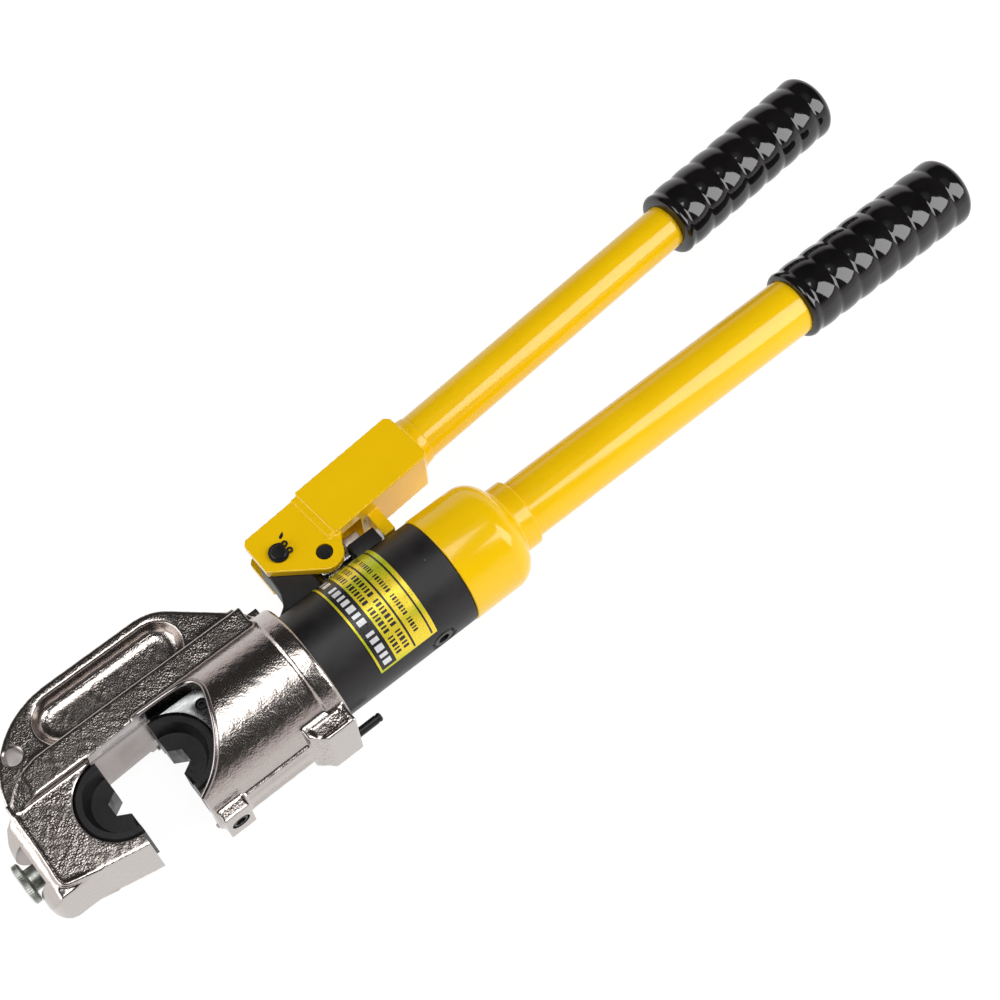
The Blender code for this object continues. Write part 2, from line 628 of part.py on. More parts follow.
def make_lever():
    fork = round_edges(plate("pump_lever_fork", fork_outline(), -CHEEK_HALF, CHEEK_HALF), 1.2)
    block = plate("lever_box", [lever_point(-31.0, -16.5), lever_point(28.0, -16.5),
                                lever_point(30.5, -14.0), lever_point(30.5, 11.5),
                                lever_point(28.0, 14.0), lever_point(-31.0, 14.0)],
                  -BOX_HALF, BOX_HALF)
    round_edges(block, 2.0)
    flare = turned("lever_flare", [(12.0, 0.0), (12.0, 13.0), (8.0, 13.3), (3.5, 14.5),
                                   (0.0, 14.5), (0.0, 0.0)],
                   (*lever_point(25.0, 0.0), 0), (math.cos(LEVER_TILT), math.sin(LEVER_TILT), 0))
    tab = box("lever_tab", (-12.0, 29.9, -7.0), (-4.3, 50.0, 7.0), 1.0)
    join(fork, block, flare, tab)
    channel = box("lever_channel", (-80, 10, -CHANNEL_HALF), (-14.0, 100, CHANNEL_HALF))
    keep = plate("channel_roof", [lever_point(-34.0, 9.0), lever_point(0.0, 9.0),
                                  lever_point(0.0, 20.0), lever_point(-34.0, 20.0)], -30, 30)
    cut(channel, keep)
    socket = drum("tube_socket", (*lever_point(8.0, 0.0), 0),
                  (math.cos(LEVER_TILT), math.sin(LEVER_TILT), 0), 40.0, LEVER_TUBE_R + GAP)
    fx, fy = FULCRUM
    px, py = PLUNGER
    cut(fork, channel, socket,
        drum("fork_fulcrum_hole", (fx, fy, -30), (0, 0, 1), 60.0, PIN_R + GAP, 24),
        drum("fork_plunger_hole", (px, py, -30), (0, 0, 1), 60.0, PIN_R + GAP, 24))
    finish(fork, yellow("fork_yellow"))
    axis = (math.cos(LEVER_TILT), math.sin(LEVER_TILT), 0)
    tube = ring("lever_tube", (*lever_point(LEVER_TUBE_U, 0.0), 0), axis,
                LEVER_GRIP_U + LEVER_GRIP_LENGTH - GRIP_END - LEVER_TUBE_U, 10.5, LEVER_TUBE_R)
    finish(tube, yellow("lever_tube_yellow"))
    grip("lever_grip", (*lever_point(LEVER_GRIP_U, 0.0), 0), axis, LEVER_GRIP_LENGTH,
         LEVER_GRIP_R, LEVER_TUBE_R)
    make_pins()


def make_pins():
    fx, fy = FULCRUM
    px, py = PLUNGER
    fulcrum = drum("fulcrum_pin", (fx, fy, -15.8), (0, 0, 1), 31.6, PIN_R, 24)
    for side in (-1, 1):
        fulcrum_groove = ring("circlip_groove_%d" % (side + 1),
                              (fx, fy, side * 14.4 - 0.6), (0, 0, 1), 1.2, 3.3, 6.0, 24)
        cut(fulcrum, fulcrum_groove)
        clip = circlip("circlip_%s" % ("low" if side < 0 else "high"), side * 14.4)
        finish(clip, black_oxide("circlip_oxide"))
    finish(fulcrum, black_oxide("fulcrum_oxide"))
    plunger_pin = drum("plunger_pin", (px, py, -13.3), (0, 0, 1), 26.6, PIN_R, 24)
    round_edges(plunger_pin, 0.4, 1)
    finish(plunger_pin, black_oxide("plunger_pin_oxide"))


def circlip(name, z):
    """An open retaining ring with two ears, around the fulcrum pin."""
    fx, fy = FULCRUM
    low_ear = arc(fx + 6.0, fy - 2.1, 1.4, -110.0, 90.0, 6)
    high_ear = arc(fx + 6.0, fy + 2.1, 1.4, -90.0, 110.0, 6)
    outline = arc(fx, fy, 5.2, 34.0, 326.0, 22) + low_ear
    outline += arc(fx, fy, 3.6, 348.0, 12.0, 20) + high_ear
    return plate(name, outline, z - 0.4, z + 0.4)


def main():
    clear_scene()
    make_head()
    make_dies()
    make_ram()
    make_die_lock()
    make_rear_pin()
    make_cylinder()
    make_label()
    make_reservoir()
    make_pump()
    make_lever()


main()
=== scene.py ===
"""The looks of a hand-pumped hydraulic crimping press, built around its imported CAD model.

Shapes are modelled in the tool's own millimetres: X runs along the cylinder from the jaw to
the handles with 0 at the reservoir cap, Y points to the pump lever, and Z is up, across the
flat sides of the jaw. place() moves each finished mesh to the CAD frame, in metres.
"""

import math

import bmesh
import bpy
import numpy as np
from mathutils import Matrix, Vector


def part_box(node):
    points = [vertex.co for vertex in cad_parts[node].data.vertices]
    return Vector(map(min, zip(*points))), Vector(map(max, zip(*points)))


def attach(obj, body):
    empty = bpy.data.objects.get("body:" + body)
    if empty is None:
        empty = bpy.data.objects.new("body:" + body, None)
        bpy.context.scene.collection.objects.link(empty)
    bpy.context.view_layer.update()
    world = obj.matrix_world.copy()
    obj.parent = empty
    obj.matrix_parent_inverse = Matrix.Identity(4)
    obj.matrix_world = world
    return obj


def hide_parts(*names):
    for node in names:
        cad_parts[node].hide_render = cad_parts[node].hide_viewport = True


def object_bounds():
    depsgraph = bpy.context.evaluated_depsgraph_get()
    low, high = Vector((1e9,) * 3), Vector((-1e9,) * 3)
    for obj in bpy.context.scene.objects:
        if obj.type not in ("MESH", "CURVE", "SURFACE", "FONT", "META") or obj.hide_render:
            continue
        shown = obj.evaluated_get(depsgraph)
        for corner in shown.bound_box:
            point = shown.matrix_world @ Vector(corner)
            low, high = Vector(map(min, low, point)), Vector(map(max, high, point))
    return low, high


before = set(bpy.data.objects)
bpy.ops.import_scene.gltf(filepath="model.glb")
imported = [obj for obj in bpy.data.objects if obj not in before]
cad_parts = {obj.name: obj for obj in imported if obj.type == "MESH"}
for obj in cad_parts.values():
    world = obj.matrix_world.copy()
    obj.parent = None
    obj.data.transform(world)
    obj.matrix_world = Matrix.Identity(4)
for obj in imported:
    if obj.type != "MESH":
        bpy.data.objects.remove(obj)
cad_low, cad_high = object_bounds()

MM = 0.001
GAP = 0.3

cap_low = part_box("reservoir_cap")[0]
tube_low, tube_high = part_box("handle_tube")
tube_middle = (tube_low + tube_high) / 2
AXIS = Vector((cap_low.x - GAP * MM, tube_middle.y, tube_middle.z))
FLOOR_Z = cad_low[2]

ALONG_X, ALONG_Y, ALONG_Z = (1, 0, 0), (0, 1, 0), (0, 0, 1)
MACHINED = 1
NUT_SIDES = 6


# ---- materials

class Look:
    """The nodes of a material or a world, with short ways to add and link them."""

    def __init__(self, owner, shader):
        owner.use_nodes = True
        self.owner = owner
        self.nodes, self.links = owner.node_tree.nodes, owner.node_tree.links
        self.shader = self.nodes[shader]

    def feed(self, slot, value):
        """Link another node's output to an input, or give the input a constant."""
        if isinstance(value, bpy.types.NodeSocket):
            self.links.new(value, slot)
        else:
            slot.default_value = value

    def add(self, kind, **values):
        """A new node, with the inputs and settings that are given."""
        made = self.nodes.new("ShaderNode" + kind)
        for key, value in values.items():
            if key in made.inputs:
                self.feed(made.inputs[key], value)
            else:
                setattr(made, key, value)
        return made

    def operate(self, kind, operation, *operands):
        """A Math or VectorMath node, fed in the order of its inputs."""
        made = self.add(kind, operation=operation)
        for slot, value in zip(made.inputs, operands):
            self.feed(slot, value)
        return made.outputs

    def maths(self, operation, *operands):
        return self.operate("Math", operation, *operands)["Value"]

    def coords(self, stretch=(1.0, 1.0, 1.0)):
        """Object coordinates in metres, multiplied along each axis."""
        where = self.add("TexCoord").outputs["Object"]
        return self.add("Mapping", Scale=stretch, Vector=where).outputs["Vector"]

    def noise(self, where, scale, detail=2.0, roughness=0.5):
        made = self.add("TexNoise", Scale=scale, Detail=detail, Roughness=roughness, Vector=where)
        return made.outputs["Fac"]

    def ramp(self, source, *stops):
        """A colour ramp whose stops are (position, grey or colour)."""
        made = self.add("ValToRGB", Fac=source)
        elements = made.color_ramp.elements
        while len(elements) < len(stops):
            elements.new(0.5)
        for element, (position, color) in zip(elements, stops):
            element.position = position
            if isinstance(color, float):
                color = (color, color, color)
            element.color = (*color, 1.0)
        return made.outputs["Color"]

    def paint(self, name, source, *stops):
        """Drive one input of the shader through a colour ramp."""
        self.feed(self.shader.inputs[name], self.ramp(source, *stops))

    def bump(self, *heights):
        """Chained bump nodes, each from (height, distance in mm, strength)."""
        normal = None
        for height, distance, strength in heights:
            made = self.add("Bump", Strength=strength, Distance=distance * MM, Height=height)
            if normal:
                self.feed(made.inputs["Normal"], normal)
            normal = made.outputs["Normal"]
        self.feed(self.shader.inputs["Normal"], normal)


def material(name, color, roughness, metallic, others=None):
    look = Look(bpy.data.materials.new(name), "Principled BSDF")
    values = {"Base Color": (*color, 1.0), "Roughness": roughness, "Metallic": metallic}
    for key, value in {**values, **(others or {})}.items():
        look.shader.inputs[key].default_value = value
    return look


def cast_nickel():
    """Nickel plate over a sand casting: a bright skin on closely packed small grains."""
    look = material("cast_nickel", (0.54, 0.49, 0.47), 0.2, 1.0)
    where = look.coords()
    warp = look.add("TexNoise", Scale=420.0, Detail=2.0, Vector=where).outputs["Color"]
    shift = (0.0012, 0.0012, 0.0012)
    bent = look.operate("VectorMath", "MULTIPLY_ADD", warp, shift, where)["Vector"]
    grains = look.add("TexVoronoi", feature="SMOOTH_F1", Scale=980.0, Smoothness=0.35, Vector=bent)
    hollow = grains.outputs["Distance"]
    fine = look.noise(where, 1700.0, 4.0, 0.7)
    patches = look.ramp(look.noise(where, 85.0, 3.0), (0.38, 0.35), (0.62, 1.0))
    rubbed = look.add("Attribute", attribute_name="rubbed").outputs["Fac"]
    rough_skin = look.ramp(rubbed, (0.1, 1.0), (0.75, 0.06))
    height = look.maths("MULTIPLY", look.maths("MULTIPLY", hollow, patches), rough_skin)
    look.bump((height, 0.18, 0.7), (look.maths("MULTIPLY", fine, rough_skin), 0.06, 0.55))
    look.paint("Base Color", look.maths("MULTIPLY", hollow, rough_skin),
               (0.1, (0.49, 0.45, 0.425)), (0.55, (0.47, 0.425, 0.395)),
               (0.85, (0.31, 0.275, 0.25)))
    look.paint("Roughness", fine, (0.3, 0.14), (0.7, 0.27))
    return look.owner


def smooth_nickel():
    look = material("smooth_nickel", (0.54, 0.5, 0.48), 0.2, 1.0)
    cloud = look.noise(look.coords(), 90.0, 3.0)
    lines = look.noise(look.coords((250.0, 1400.0, 1400.0)), 1.0, 3.0)
    look.paint("Roughness", cloud, (0.35, 0.15), (0.7, 0.3))
    look.paint("Base Color", cloud, (0.3, (0.31, 0.28, 0.27)), (0.7, (0.39, 0.355, 0.345)))
    look.bump((cloud, 0.5, 0.12), (lines, 0.03, 0.2))
    return look.owner


def brushed(name, color, roughness, stretch):
    """Machined metal with tool lines along the axis whose stretch is smallest."""
    look = material(name, color, roughness, 1.0)
    lines = look.noise(look.coords(stretch), 1.0, 4.0, 0.65)
    cloud = look.noise(look.coords(), 130.0, 3.0)
    look.paint("Roughness", lines, (0.25, roughness - 0.1), (0.75, roughness + 0.14))
    look.paint("Base Color", cloud, (0.3, tuple(0.72 * value for value in color)), (0.62, color))
    look.bump((lines, 0.05, 0.35))
    return look.owner


def enamel():
    """Glossy yellow enamel with a faint orange peel."""
    look = material("yellow_enamel", (0.82, 0.52, 0.003), 0.15, 0.0,
                    {"Specular IOR Level": 0.4, "Coat Weight": 0.1, "Coat Roughness": 0.05})
    where = look.coords()
    cloud = look.noise(where, 28.0, 3.0)
    look.paint("Base Color", cloud, (0.3, (0.88, 0.535, 0.002)), (0.7, (0.92, 0.57, 0.003)))
    peel = look.noise(where, 420.0)
    look.paint("Roughness", peel, (0.3, 0.12), (0.7, 0.17))
    look.bump((peel, 0.02, 0.15))
    return look.owner


def satin_black():
    """Satin black paint with a fine tooth and a few pale specks of dust and wear."""
    look = material("satin_black", (0.013, 0.0115, 0.012), 0.42, 0.0, {"Specular IOR Level": 0.4})
    where = look.coords()
    tooth = look.noise(where, 1900.0)
    cloud = look.noise(where, 70.0, 4.0, 0.65)
    specks = look.add("TexVoronoi", Scale=150.0, Vector=where).outputs["Distance"]
    spot = look.ramp(specks, (0.045, 1.0), (0.075, 0.0))
    rare = look.ramp(look.noise(where, 95.0), (0.6, 0.0), (0.66, 1.0))
    mix = look.add("Mix", data_type="RGBA")
    look.feed(mix.inputs[0], look.maths("MULTIPLY", spot, rare))
    look.feed(mix.inputs[6], look.ramp(cloud, (0.3, (0.009, 0.008, 0.0082)),
                                       (0.7, (0.016, 0.0142, 0.0145))))
    look.feed(mix.inputs[7], (0.22, 0.2, 0.19, 1.0))
    look.feed(look.shader.inputs["Base Color"], mix.outputs[2])
    look.paint("Roughness", cloud, (0.3, 0.36), (0.7, 0.48))
    look.bump((tooth, 0.05, 0.25))
    return look.owner


def gloss_grip():
    look = material("grip_gloss", (0.006, 0.0055, 0.006), 0.07, 0.0, {"IOR": 1.56})
    where = look.coords()
    flow = look.noise(where, 55.0)
    fine = look.noise(where, 700.0, 3.0)
    look.paint("Roughness", fine, (0.35, 0.045), (0.7, 0.1))
    look.paint("Base Color", flow, (0.3, (0.0045, 0.004, 0.0045)), (0.7, (0.009, 0.008, 0.0085)))
    look.bump((flow, 0.25, 0.12), (fine, 0.015, 0.2))
    return look.owner


def black_oxide(name="black_oxide", center=None):
    """Blackened steel. With a centre, in metres, it has turning lines round that point."""
    look = material(name, (0.011, 0.0105, 0.011), 0.4, 0.05, {"Specular IOR Level": 0.38})
    where = look.coords()
    cloud = look.noise(where, 160.0, 3.0)
    look.paint("Roughness", cloud, (0.3, 0.3), (0.7, 0.44))
    look.paint("Base Color", cloud, (0.3, (0.007, 0.0068, 0.0072)), (0.7, (0.014, 0.013, 0.0136)))
    heights = [(look.noise(where, 1300.0), 0.03, 0.3)]
    if center:
        offset = look.operate("VectorMath", "SUBTRACT", where, center)["Vector"]
        flat = look.operate("VectorMath", "MULTIPLY", offset, (1.0, 1.0, 0.0))["Vector"]
        radius = look.operate("VectorMath", "LENGTH", flat)["Value"]
        turns = look.maths("MULTIPLY", radius, math.tau / (TURNING_PITCH * MM))
        heights.append((look.maths("SINE", turns), 0.008, 0.5))
    look.bump(*heights)
    return look.owner


def dull_rubber():
    look = material("oil_rubber", (0.02, 0.02, 0.021), 0.75, 0.0)
    grain = look.noise(look.coords(), 900.0, 3.0)
    look.paint("Roughness", grain, (0.3, 0.65), (0.7, 0.85))
    look.bump((grain, 0.08, 0.4))
    return look.owner


def resin():
    look = material("guide_resin", (0.55, 0.5, 0.38), 0.5, 0.0)
    weave = look.noise(look.coords(), 600.0, 3.0)
    look.paint("Base Color", weave, (0.3, (0.47, 0.42, 0.3)), (0.7, (0.6, 0.54, 0.42)))
    look.bump((weave, 0.06, 0.3))
    return look.owner


def film(name, low, high, metallic):
    """Glossy printed foil between two tints, with a painted sheen: its colour drifts from one tint
    to the other in soft patches.
    """
    look = material(name, high, 0.28, metallic)
    painted_sheen = look.noise(look.coords((30.0, 75.0, 75.0)), 1.0, 1.0)
    # Painted sheen: the base colour moves between the two tints in soft noise patches, standing in
    # for the foil's reflections.
    look.paint("Base Color", painted_sheen, (0.36, low), (0.56, high))
    print_grain = look.noise(look.coords(), 1200.0)
    look.paint("Roughness", print_grain, (0.3, 0.26), (0.7, 0.31))
    look.bump((print_grain, 0.004, 0.1))
    return look.owner


TURNING_PITCH = 0.35

MATERIALS = {
    "cast": cast_nickel(),
    "nickel": smooth_nickel(),
    "steel": brushed("ram_steel", (0.30, 0.31, 0.305), 0.27, (250.0, 1400.0, 400.0)),
    "bright": brushed("bright_steel", (0.62, 0.61, 0.59), 0.24, (300.0, 1500.0, 1500.0)),
    "satin": brushed("satin_nickel", (0.66, 0.585, 0.54), 0.45, (900.0, 500.0, 500.0)),
    "zinc": brushed("zinc_plate", (0.52, 0.545, 0.50), 0.42, (900.0, 500.0, 500.0)),
    "enamel": enamel(),
    "black": satin_black(),
    "grip": gloss_grip(),
    "oxide": black_oxide(),
    "rubber": dull_rubber(),
    "resin": resin(),
    "foil": film("label_foil", (0.52, 0.57, 0.02), (0.88, 0.68, 0.04), 0.3),
    "ink": film("label_ink", (0.012, 0.012, 0.013), (0.02, 0.019, 0.02), 0.0),
    "pale_ink": film("label_pale_ink", (0.62, 0.62, 0.64), (0.78, 0.78, 0.80), 0.1),
}


# ---- mesh tools, in tool millimetres

def new_object(name, bm):
    mesh = bpy.data.meshes.new(name)
    bm.to_mesh(mesh)
    bm.free()
    return linked(name, mesh)


def linked(name, data):
    obj = bpy.data.objects.new(name, data)
    bpy.context.scene.collection.objects.link(obj)
    return obj


def new_solid(name, bm, matrix=None):
    """An object from closed faces, which are turned outwards before it is moved."""
    bmesh.ops.recalc_face_normals(bm, faces=bm.faces)
    if matrix:
        bm.transform(matrix)
    return new_object(name, bm)


def skin(name, rings):
    """A closed solid through rings of points, all with the same number of points."""
    bm = bmesh.new()
    rings = [[bm.verts.new(point) for point in ring] for ring in rings]
    count = len(rings[0])
    for low, high in zip(rings, rings[1:]):
        for i in range(count):
            j = (i + 1) % count
            bm.faces.new((low[i], low[j], high[j], high[i]))
    bm.faces.new(rings[0])
    bm.faces.new(rings[-1])
    return new_solid(name, bm)


def lathe(name, profile, start=(0, 0, 0), direction=ALONG_X, steps=96):
    """A body of revolution from (height, radius) points. A radius of 0 closes on the axis, and
    a profile that doesn't touch the axis closes on itself."""
    bm = bmesh.new()
    rows = []
    turns = [math.tau * i / steps for i in range(steps)]
    for height, radius in profile:
        if radius <= 0.0:
            rows.append([bm.verts.new((0.0, 0.0, height))] * steps)
        else:
            rows.append([bm.verts.new((radius * math.cos(turn), radius * math.sin(turn), height))
                         for turn in turns])
    pairs = list(zip(rows, rows[1:]))
    if profile[0][1] > 0.0 and profile[-1][1] > 0.0:
        pairs.append((rows[-1], rows[0]))
    for low, high in pairs:
        for i in range(steps):
            j = (i + 1) % steps
            loop = list(dict.fromkeys((low[i], low[j], high[j], high[i])))
            if len(loop) > 2:
                bm.faces.new(loop)
    turn = Vector(ALONG_Z).rotation_difference(Vector(direction)).to_matrix()
    return new_solid(name, bm, Matrix.Translation(start) @ turn.to_4x4())


def spindle(name, profile, *where, **options):
    """A body of revolution whose two ends are closed on its axis."""
    first, last = profile[0][0], profile[-1][0]
    return lathe(name, [(first, 0.0), *profile, (last, 0.0)], *where, **options)


def rod(name, start, direction, length, radius, steps=48):
    return spindle(name, [(0.0, radius), (length, radius)], start, direction, steps)


def plate(name, outline, low, high):
    """An outline in XY extruded between two heights, given in either order."""
    low, high = sorted((low, high))
    bm = bmesh.new()
    bottom = [bm.verts.new((x, y, low)) for x, y in outline]
    top = [bm.verts.new((x, y, high)) for x, y in outline]
    bm.faces.new(bottom)
    bm.faces.new(top)
    for i in range(len(outline)):
        j = (i + 1) % len(outline)
        bm.faces.new((bottom[i], bottom[j], top[j], top[i]))
    return new_solid(name, bm)


def loft(name, low_outline, low, high_outline, high):
    """A solid between two outlines with the same number of points, at two heights."""
    made = plate(name, low_outline, low, high)
    for vert, point in zip(list(made.data.vertices)[len(low_outline):], high_outline):
        vert.co.xy = point
    return made


def block(name, first, second):
    """A box between two opposite corners."""
    (x0, x1), (y0, y1) = (sorted(pair) for pair in zip(first[:2], second[:2]))
    return plate(name, [(x0, y0), (x1, y0), (x1, y1), (x0, y1)], first[2], second[2])


def arc(cx, cy, radius, start, end, steps):
    angles = [math.radians(start + (end - start) * i / steps) for i in range(steps + 1)]
    return [(cx + radius * math.cos(a), cy + radius * math.sin(a)) for a in angles]


def bake(obj):
    """Apply every modifier."""
    bpy.context.view_layer.update()
    graph = bpy.context.evaluated_depsgraph_get()
    mesh = bpy.data.meshes.new_from_object(obj.evaluated_get(graph))
    obj.modifiers.clear()
    obj.data = mesh
    return obj


def boolean(obj, others, operation, solver="EXACT"):
    """Apply one boolean for each other body, and remove those bodies."""
    for other in others:
        mod = obj.modifiers.new("cut", "BOOLEAN")
        mod.operation = operation
        mod.solver = solver
        mod.object = other
    bake(obj)
    for other in others:
        bpy.data.objects.remove(other, do_unlink=True)
    return obj


def cut(obj, *others, solver="EXACT"):
    return boolean(obj, others, "DIFFERENCE", solver)


def join(obj, *others, solver="EXACT"):
    return boolean(obj, others, "UNION", solver)


def round_edges(obj, width, segments=3, angle=35.0):
    mod = obj.modifiers.new("round", "BEVEL")
    mod.width = width
    mod.segments = segments
    mod.limit_method = "ANGLE"
    mod.angle_limit = math.radians(angle)
    return bake(obj)


def soften(obj, voxel, steps):
    """Turn a union of solids into one casting with filleted edges."""
    remesh = obj.modifiers.new("skin", "REMESH")
    remesh.mode = "VOXEL"
    remesh.voxel_size = voxel
    smooth = obj.modifiers.new("smooth", "SMOOTH")
    smooth.factor = 0.5
    smooth.iterations = steps
    return bake(obj)


def slots(obj, *names):
    """Give a mesh its materials; the faces keep the numbers of their slots."""
    numbers = np.zeros(len(obj.data.polygons), dtype=np.int32)
    obj.data.polygons.foreach_get("material_index", numbers)
    obj.data.materials.clear()
    for name in names:
        obj.data.materials.append(MATERIALS[name] if isinstance(name, str) else name)
    obj.data.polygons.foreach_set("material_index", np.minimum(numbers, len(names) - 1))
    return obj


def machined(obj):
    """Mark a cutter so that the faces it leaves take the second material."""
    slots(obj, "cast", "nickel")
    obj.data.polygons.foreach_set("material_index", [MACHINED] * len(obj.data.polygons))
    return obj


def place(obj, body, replaced=(), sharp=32.0):
    """Shade a finished mesh, move it to the CAD frame and let it ride on its body."""
    obj.data.transform(Matrix.Translation(AXIS) @ Matrix.Scale(MM, 4))
    obj.data.shade_smooth()
    obj.data.set_sharp_from_angle(angle=math.radians(sharp))
    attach(obj, body)
    if replaced:
        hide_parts(*replaced)
    return obj


def relax_path(points, rounds):
    """Cut the corners of an open path, keeping its two ends."""
    for _ in range(rounds):
        cut_path = [points[0]]
        for first, second in zip(points, points[1:]):
            cut_path.append(tuple(0.75 * a + 0.25 * b for a, b in zip(first, second)))
            cut_path.append(tuple(0.25 * a + 0.75 * b for a, b in zip(first, second)))
        points = cut_path + [points[-1]]
    return points


def bead(name, points, radius, steps=12):
    """A round bead along a path in space, closed at both ends."""
    path = [Vector(point) for point in points]
    angles = [math.tau * k / steps for k in range(steps)]
    side = None
    rings = []
    for i, here in enumerate(path):
        ahead = (path[min(i + 1, len(path) - 1)] - path[max(i - 1, 0)]).normalized()
        side = side or ahead.orthogonal()
        side = (side - ahead * side.dot(ahead)).normalized()
        up = ahead.cross(side)
        rings.append([here + radius * (math.cos(a) * side + math.sin(a) * up) for a in angles])
    return skin(name, rings)


def hexagon(cx, cy, across):
    return arc(cx, cy, across / math.sqrt(3), 0.0, 360.0, NUT_SIDES)[:-1]


def stadium(x0, x1, y, radius, steps=16):
    return arc(x1, y, radius, -90.0, 90.0, steps) + arc(x0, y, radius, 90.0, 270.0, steps)


def points_of(mesh, what="co"):
    """The vertices' places, one row each, or their normals with "normal"."""
    flat = np.empty(len(mesh.vertices) * 3)
    mesh.vertices.foreach_get(what, flat)
    return flat.reshape(-1, 3)


def set_points(mesh, points):
    mesh.vertices.foreach_set("co", points.reshape(-1))
    mesh.update()


def flatten(obj, planes, reach=0.3, facing=0.97):
    """Bring the parts of a remeshed body that lie near a known plane exactly onto it."""
    points = points_of(obj.data)
    normals = points_of(obj.data, "normal")
    for point, normal in planes:
        direction = np.array(normal) / np.linalg.norm(normal)
        height = (points - np.array(point)) @ direction
        near = (np.abs(height) < reach) & (normals @ direction > facing)
        points[near] -= np.outer(height[near], direction)
    set_points(obj.data, points)
    return obj


def mark_smooth(obj, spread, gain, extra=None):
    """Store where a casting is rubbed smooth: round its edges, and where extra() says so."""
    mesh = obj.data
    points = points_of(mesh)
    normals = points_of(mesh, "normal")
    flat = np.empty(len(mesh.edges) * 2, dtype=np.int32)
    mesh.edges.foreach_get("vertices", flat)
    first, second = flat.reshape(-1, 2).T
    count = len(points)
    degree = np.bincount(first, minlength=count) + np.bincount(second, minlength=count)
    degree = np.maximum(degree, 1)
    length = np.linalg.norm(points[first] - points[second], axis=1)
    bend = np.linalg.norm(normals[first] - normals[second], axis=1) / np.maximum(length, 0.25)

    def spread_out(edge_values):
        total = (np.bincount(first, weights=edge_values[0], minlength=count)
                 + np.bincount(second, weights=edge_values[1], minlength=count))
        return total / degree

    mask = spread_out((bend, bend))
    for _ in range(spread):
        mask = 0.5 * mask + 0.5 * spread_out((mask[second], mask[first]))
    mask = np.clip(mask * gain, 0.0, 1.0)
    if extra:
        mask = np.maximum(mask, extra(points, normals))
    layer = mesh.attributes.new("rubbed", "FLOAT", "POINT")
    layer.data.foreach_set("value", mask.astype(np.float32))


# ---- the tool's dimensions

CYL_R = 29.0
CYL_FRONT_X = -104.0
CHAMBER_R = 22.0
CHAMBER_END_X = -56.0
HANDLE_R = 16.0
HANDLE_GRIP_X = 233.5
HANDLE_END_X = 350.0
HANDLE_GRIP_R = 19.5
HANDLE_START_X = 33.0
GRIP_END = 12.0
COLLAR_R = 18.5
COLLAR_END_X = 50.0
CAP_R = 29.5
CAP_END_X = 40.0
SHOULDER = 13.0

HOUSING_R = 34.5
RIM_R = 36.0
HOUSING_FRONT_X = -157.0
HOUSING_REAR_X = -79.0
RIM_FRONT_X = -88.5
BORE_R = 27.3
JAW_FACE_X = -187.0
JAW_HALF = 18.5
JAW_SIDE_Y = -27.8
BAND_HALF = 22.0
BAND_INNER_Y = 22.9
BAND_OUTER_Y = 39.0
SPINE_HALF = 11.5
TIP_PLATE_X = -228.0
TIP_FACE_X = -233.0
EAR_X = -238.8
EAR_SLOT_HALF = 10.8
NOSE_X = -218.0
NOSE_R = NOSE_X - EAR_X

ANVIL_X = -185.3
RAM_DIE_X = -156.0
DIE_R = 21.0
DIE_HALF = 17.6
DIE_RING_R = 17.0
DIE_WEB_R = 14.5
DIE_WEB_HALF = 9.0
NOTCH_SIDE = 6.9
RAM_R = 27.0
RAM_HALF = 18.0
RAM_FACE_X = -154.3
RAM_REAR_X = -112.0
RAM_SCREW = (-130.8, 12.0)
PISTON_R = 21.7
PISTON_REAR_X = -60.0

KNOB_X = -242.5
KNOB_R = 10.4
KNOB_THICK = 3.5
LOCK_PIN_R = 2.5

LEVER_TILT = math.radians(4.7)
LEVER_Y = 61.9
LEVER_TUBE_R = 12.5
LEVER_TUBE_U = 8.3
LEVER_GRIP_U = 218.5
LEVER_GRIP_LENGTH = 115.5
LEVER_GRIP_R = 18.4
FULCRUM = (-57.0, 52.5)
PLUNGER = (-39.5, 39.2)
GLAND_R = 5.8
PIN_R = 4.0
CHEEK_HALF = 13.5
FORK_FRONT_X = -67.6
FORK_TOP_V = 12.8
BOX_HALF = 15.0
BOX_TOP_V = 14.0
BOX_BOTTOM_V = -16.5
CHANNEL_HALF = 8.8

BLOCK_X0 = -28.4
BLOCK_X1 = -13.0
BLOCK_TOP_Y = 36.0
BUTTON_X = -24.6
STEM_BORE_R = 2.8
BUTTON_TOP_Y = 42.5

PLUG_X = -20.5
SCREW_X = -148.5
REAR_PIN = (-95.0, -36.0, -12.0)
RING_PITCH = 13.87
RING_FIRST = 12.93
RING_DEPTH = 0.9


def lever_point(u, v):
    """A point of the pump lever: u along its tube's axis and v across it."""
    c, s = math.cos(LEVER_TILT), math.sin(LEVER_TILT)
    return (u * c - v * s, LEVER_Y + u * s + v * c)


def lever_axis():
    return (math.cos(LEVER_TILT), math.sin(LEVER_TILT), 0.0)


# ---- head

POCKET_ENDS_X = (-185.0, -130.8)
WINDOW_LIP = [(-157.0, 24.4), (-152.0, 24.2), (-136.0, 23.4), (-128.6, 20.6), (-126.2, 14.4),
              (-127.3, 8.7), (-129.9, 1.4), (-132.3, -4.4), (-135.2, -9.8), (-139.0, -15.0),
              (-143.7, -19.8), (-149.4, -23.6), (-156.8, -26.6)]


def spine_outline():
    front = arc(-182.0, 23.5, 46.8, 180.0, 90.0, 28)
    back = arc(-132.0, 45.3, 25.0, 90.0, 50.0, 10)
    return [(TIP_PLATE_X - 0.8, 5.0)] + front + back + [(-89.0, 40.5), (-82.5, 30.0), (-82.5, 5.0)]


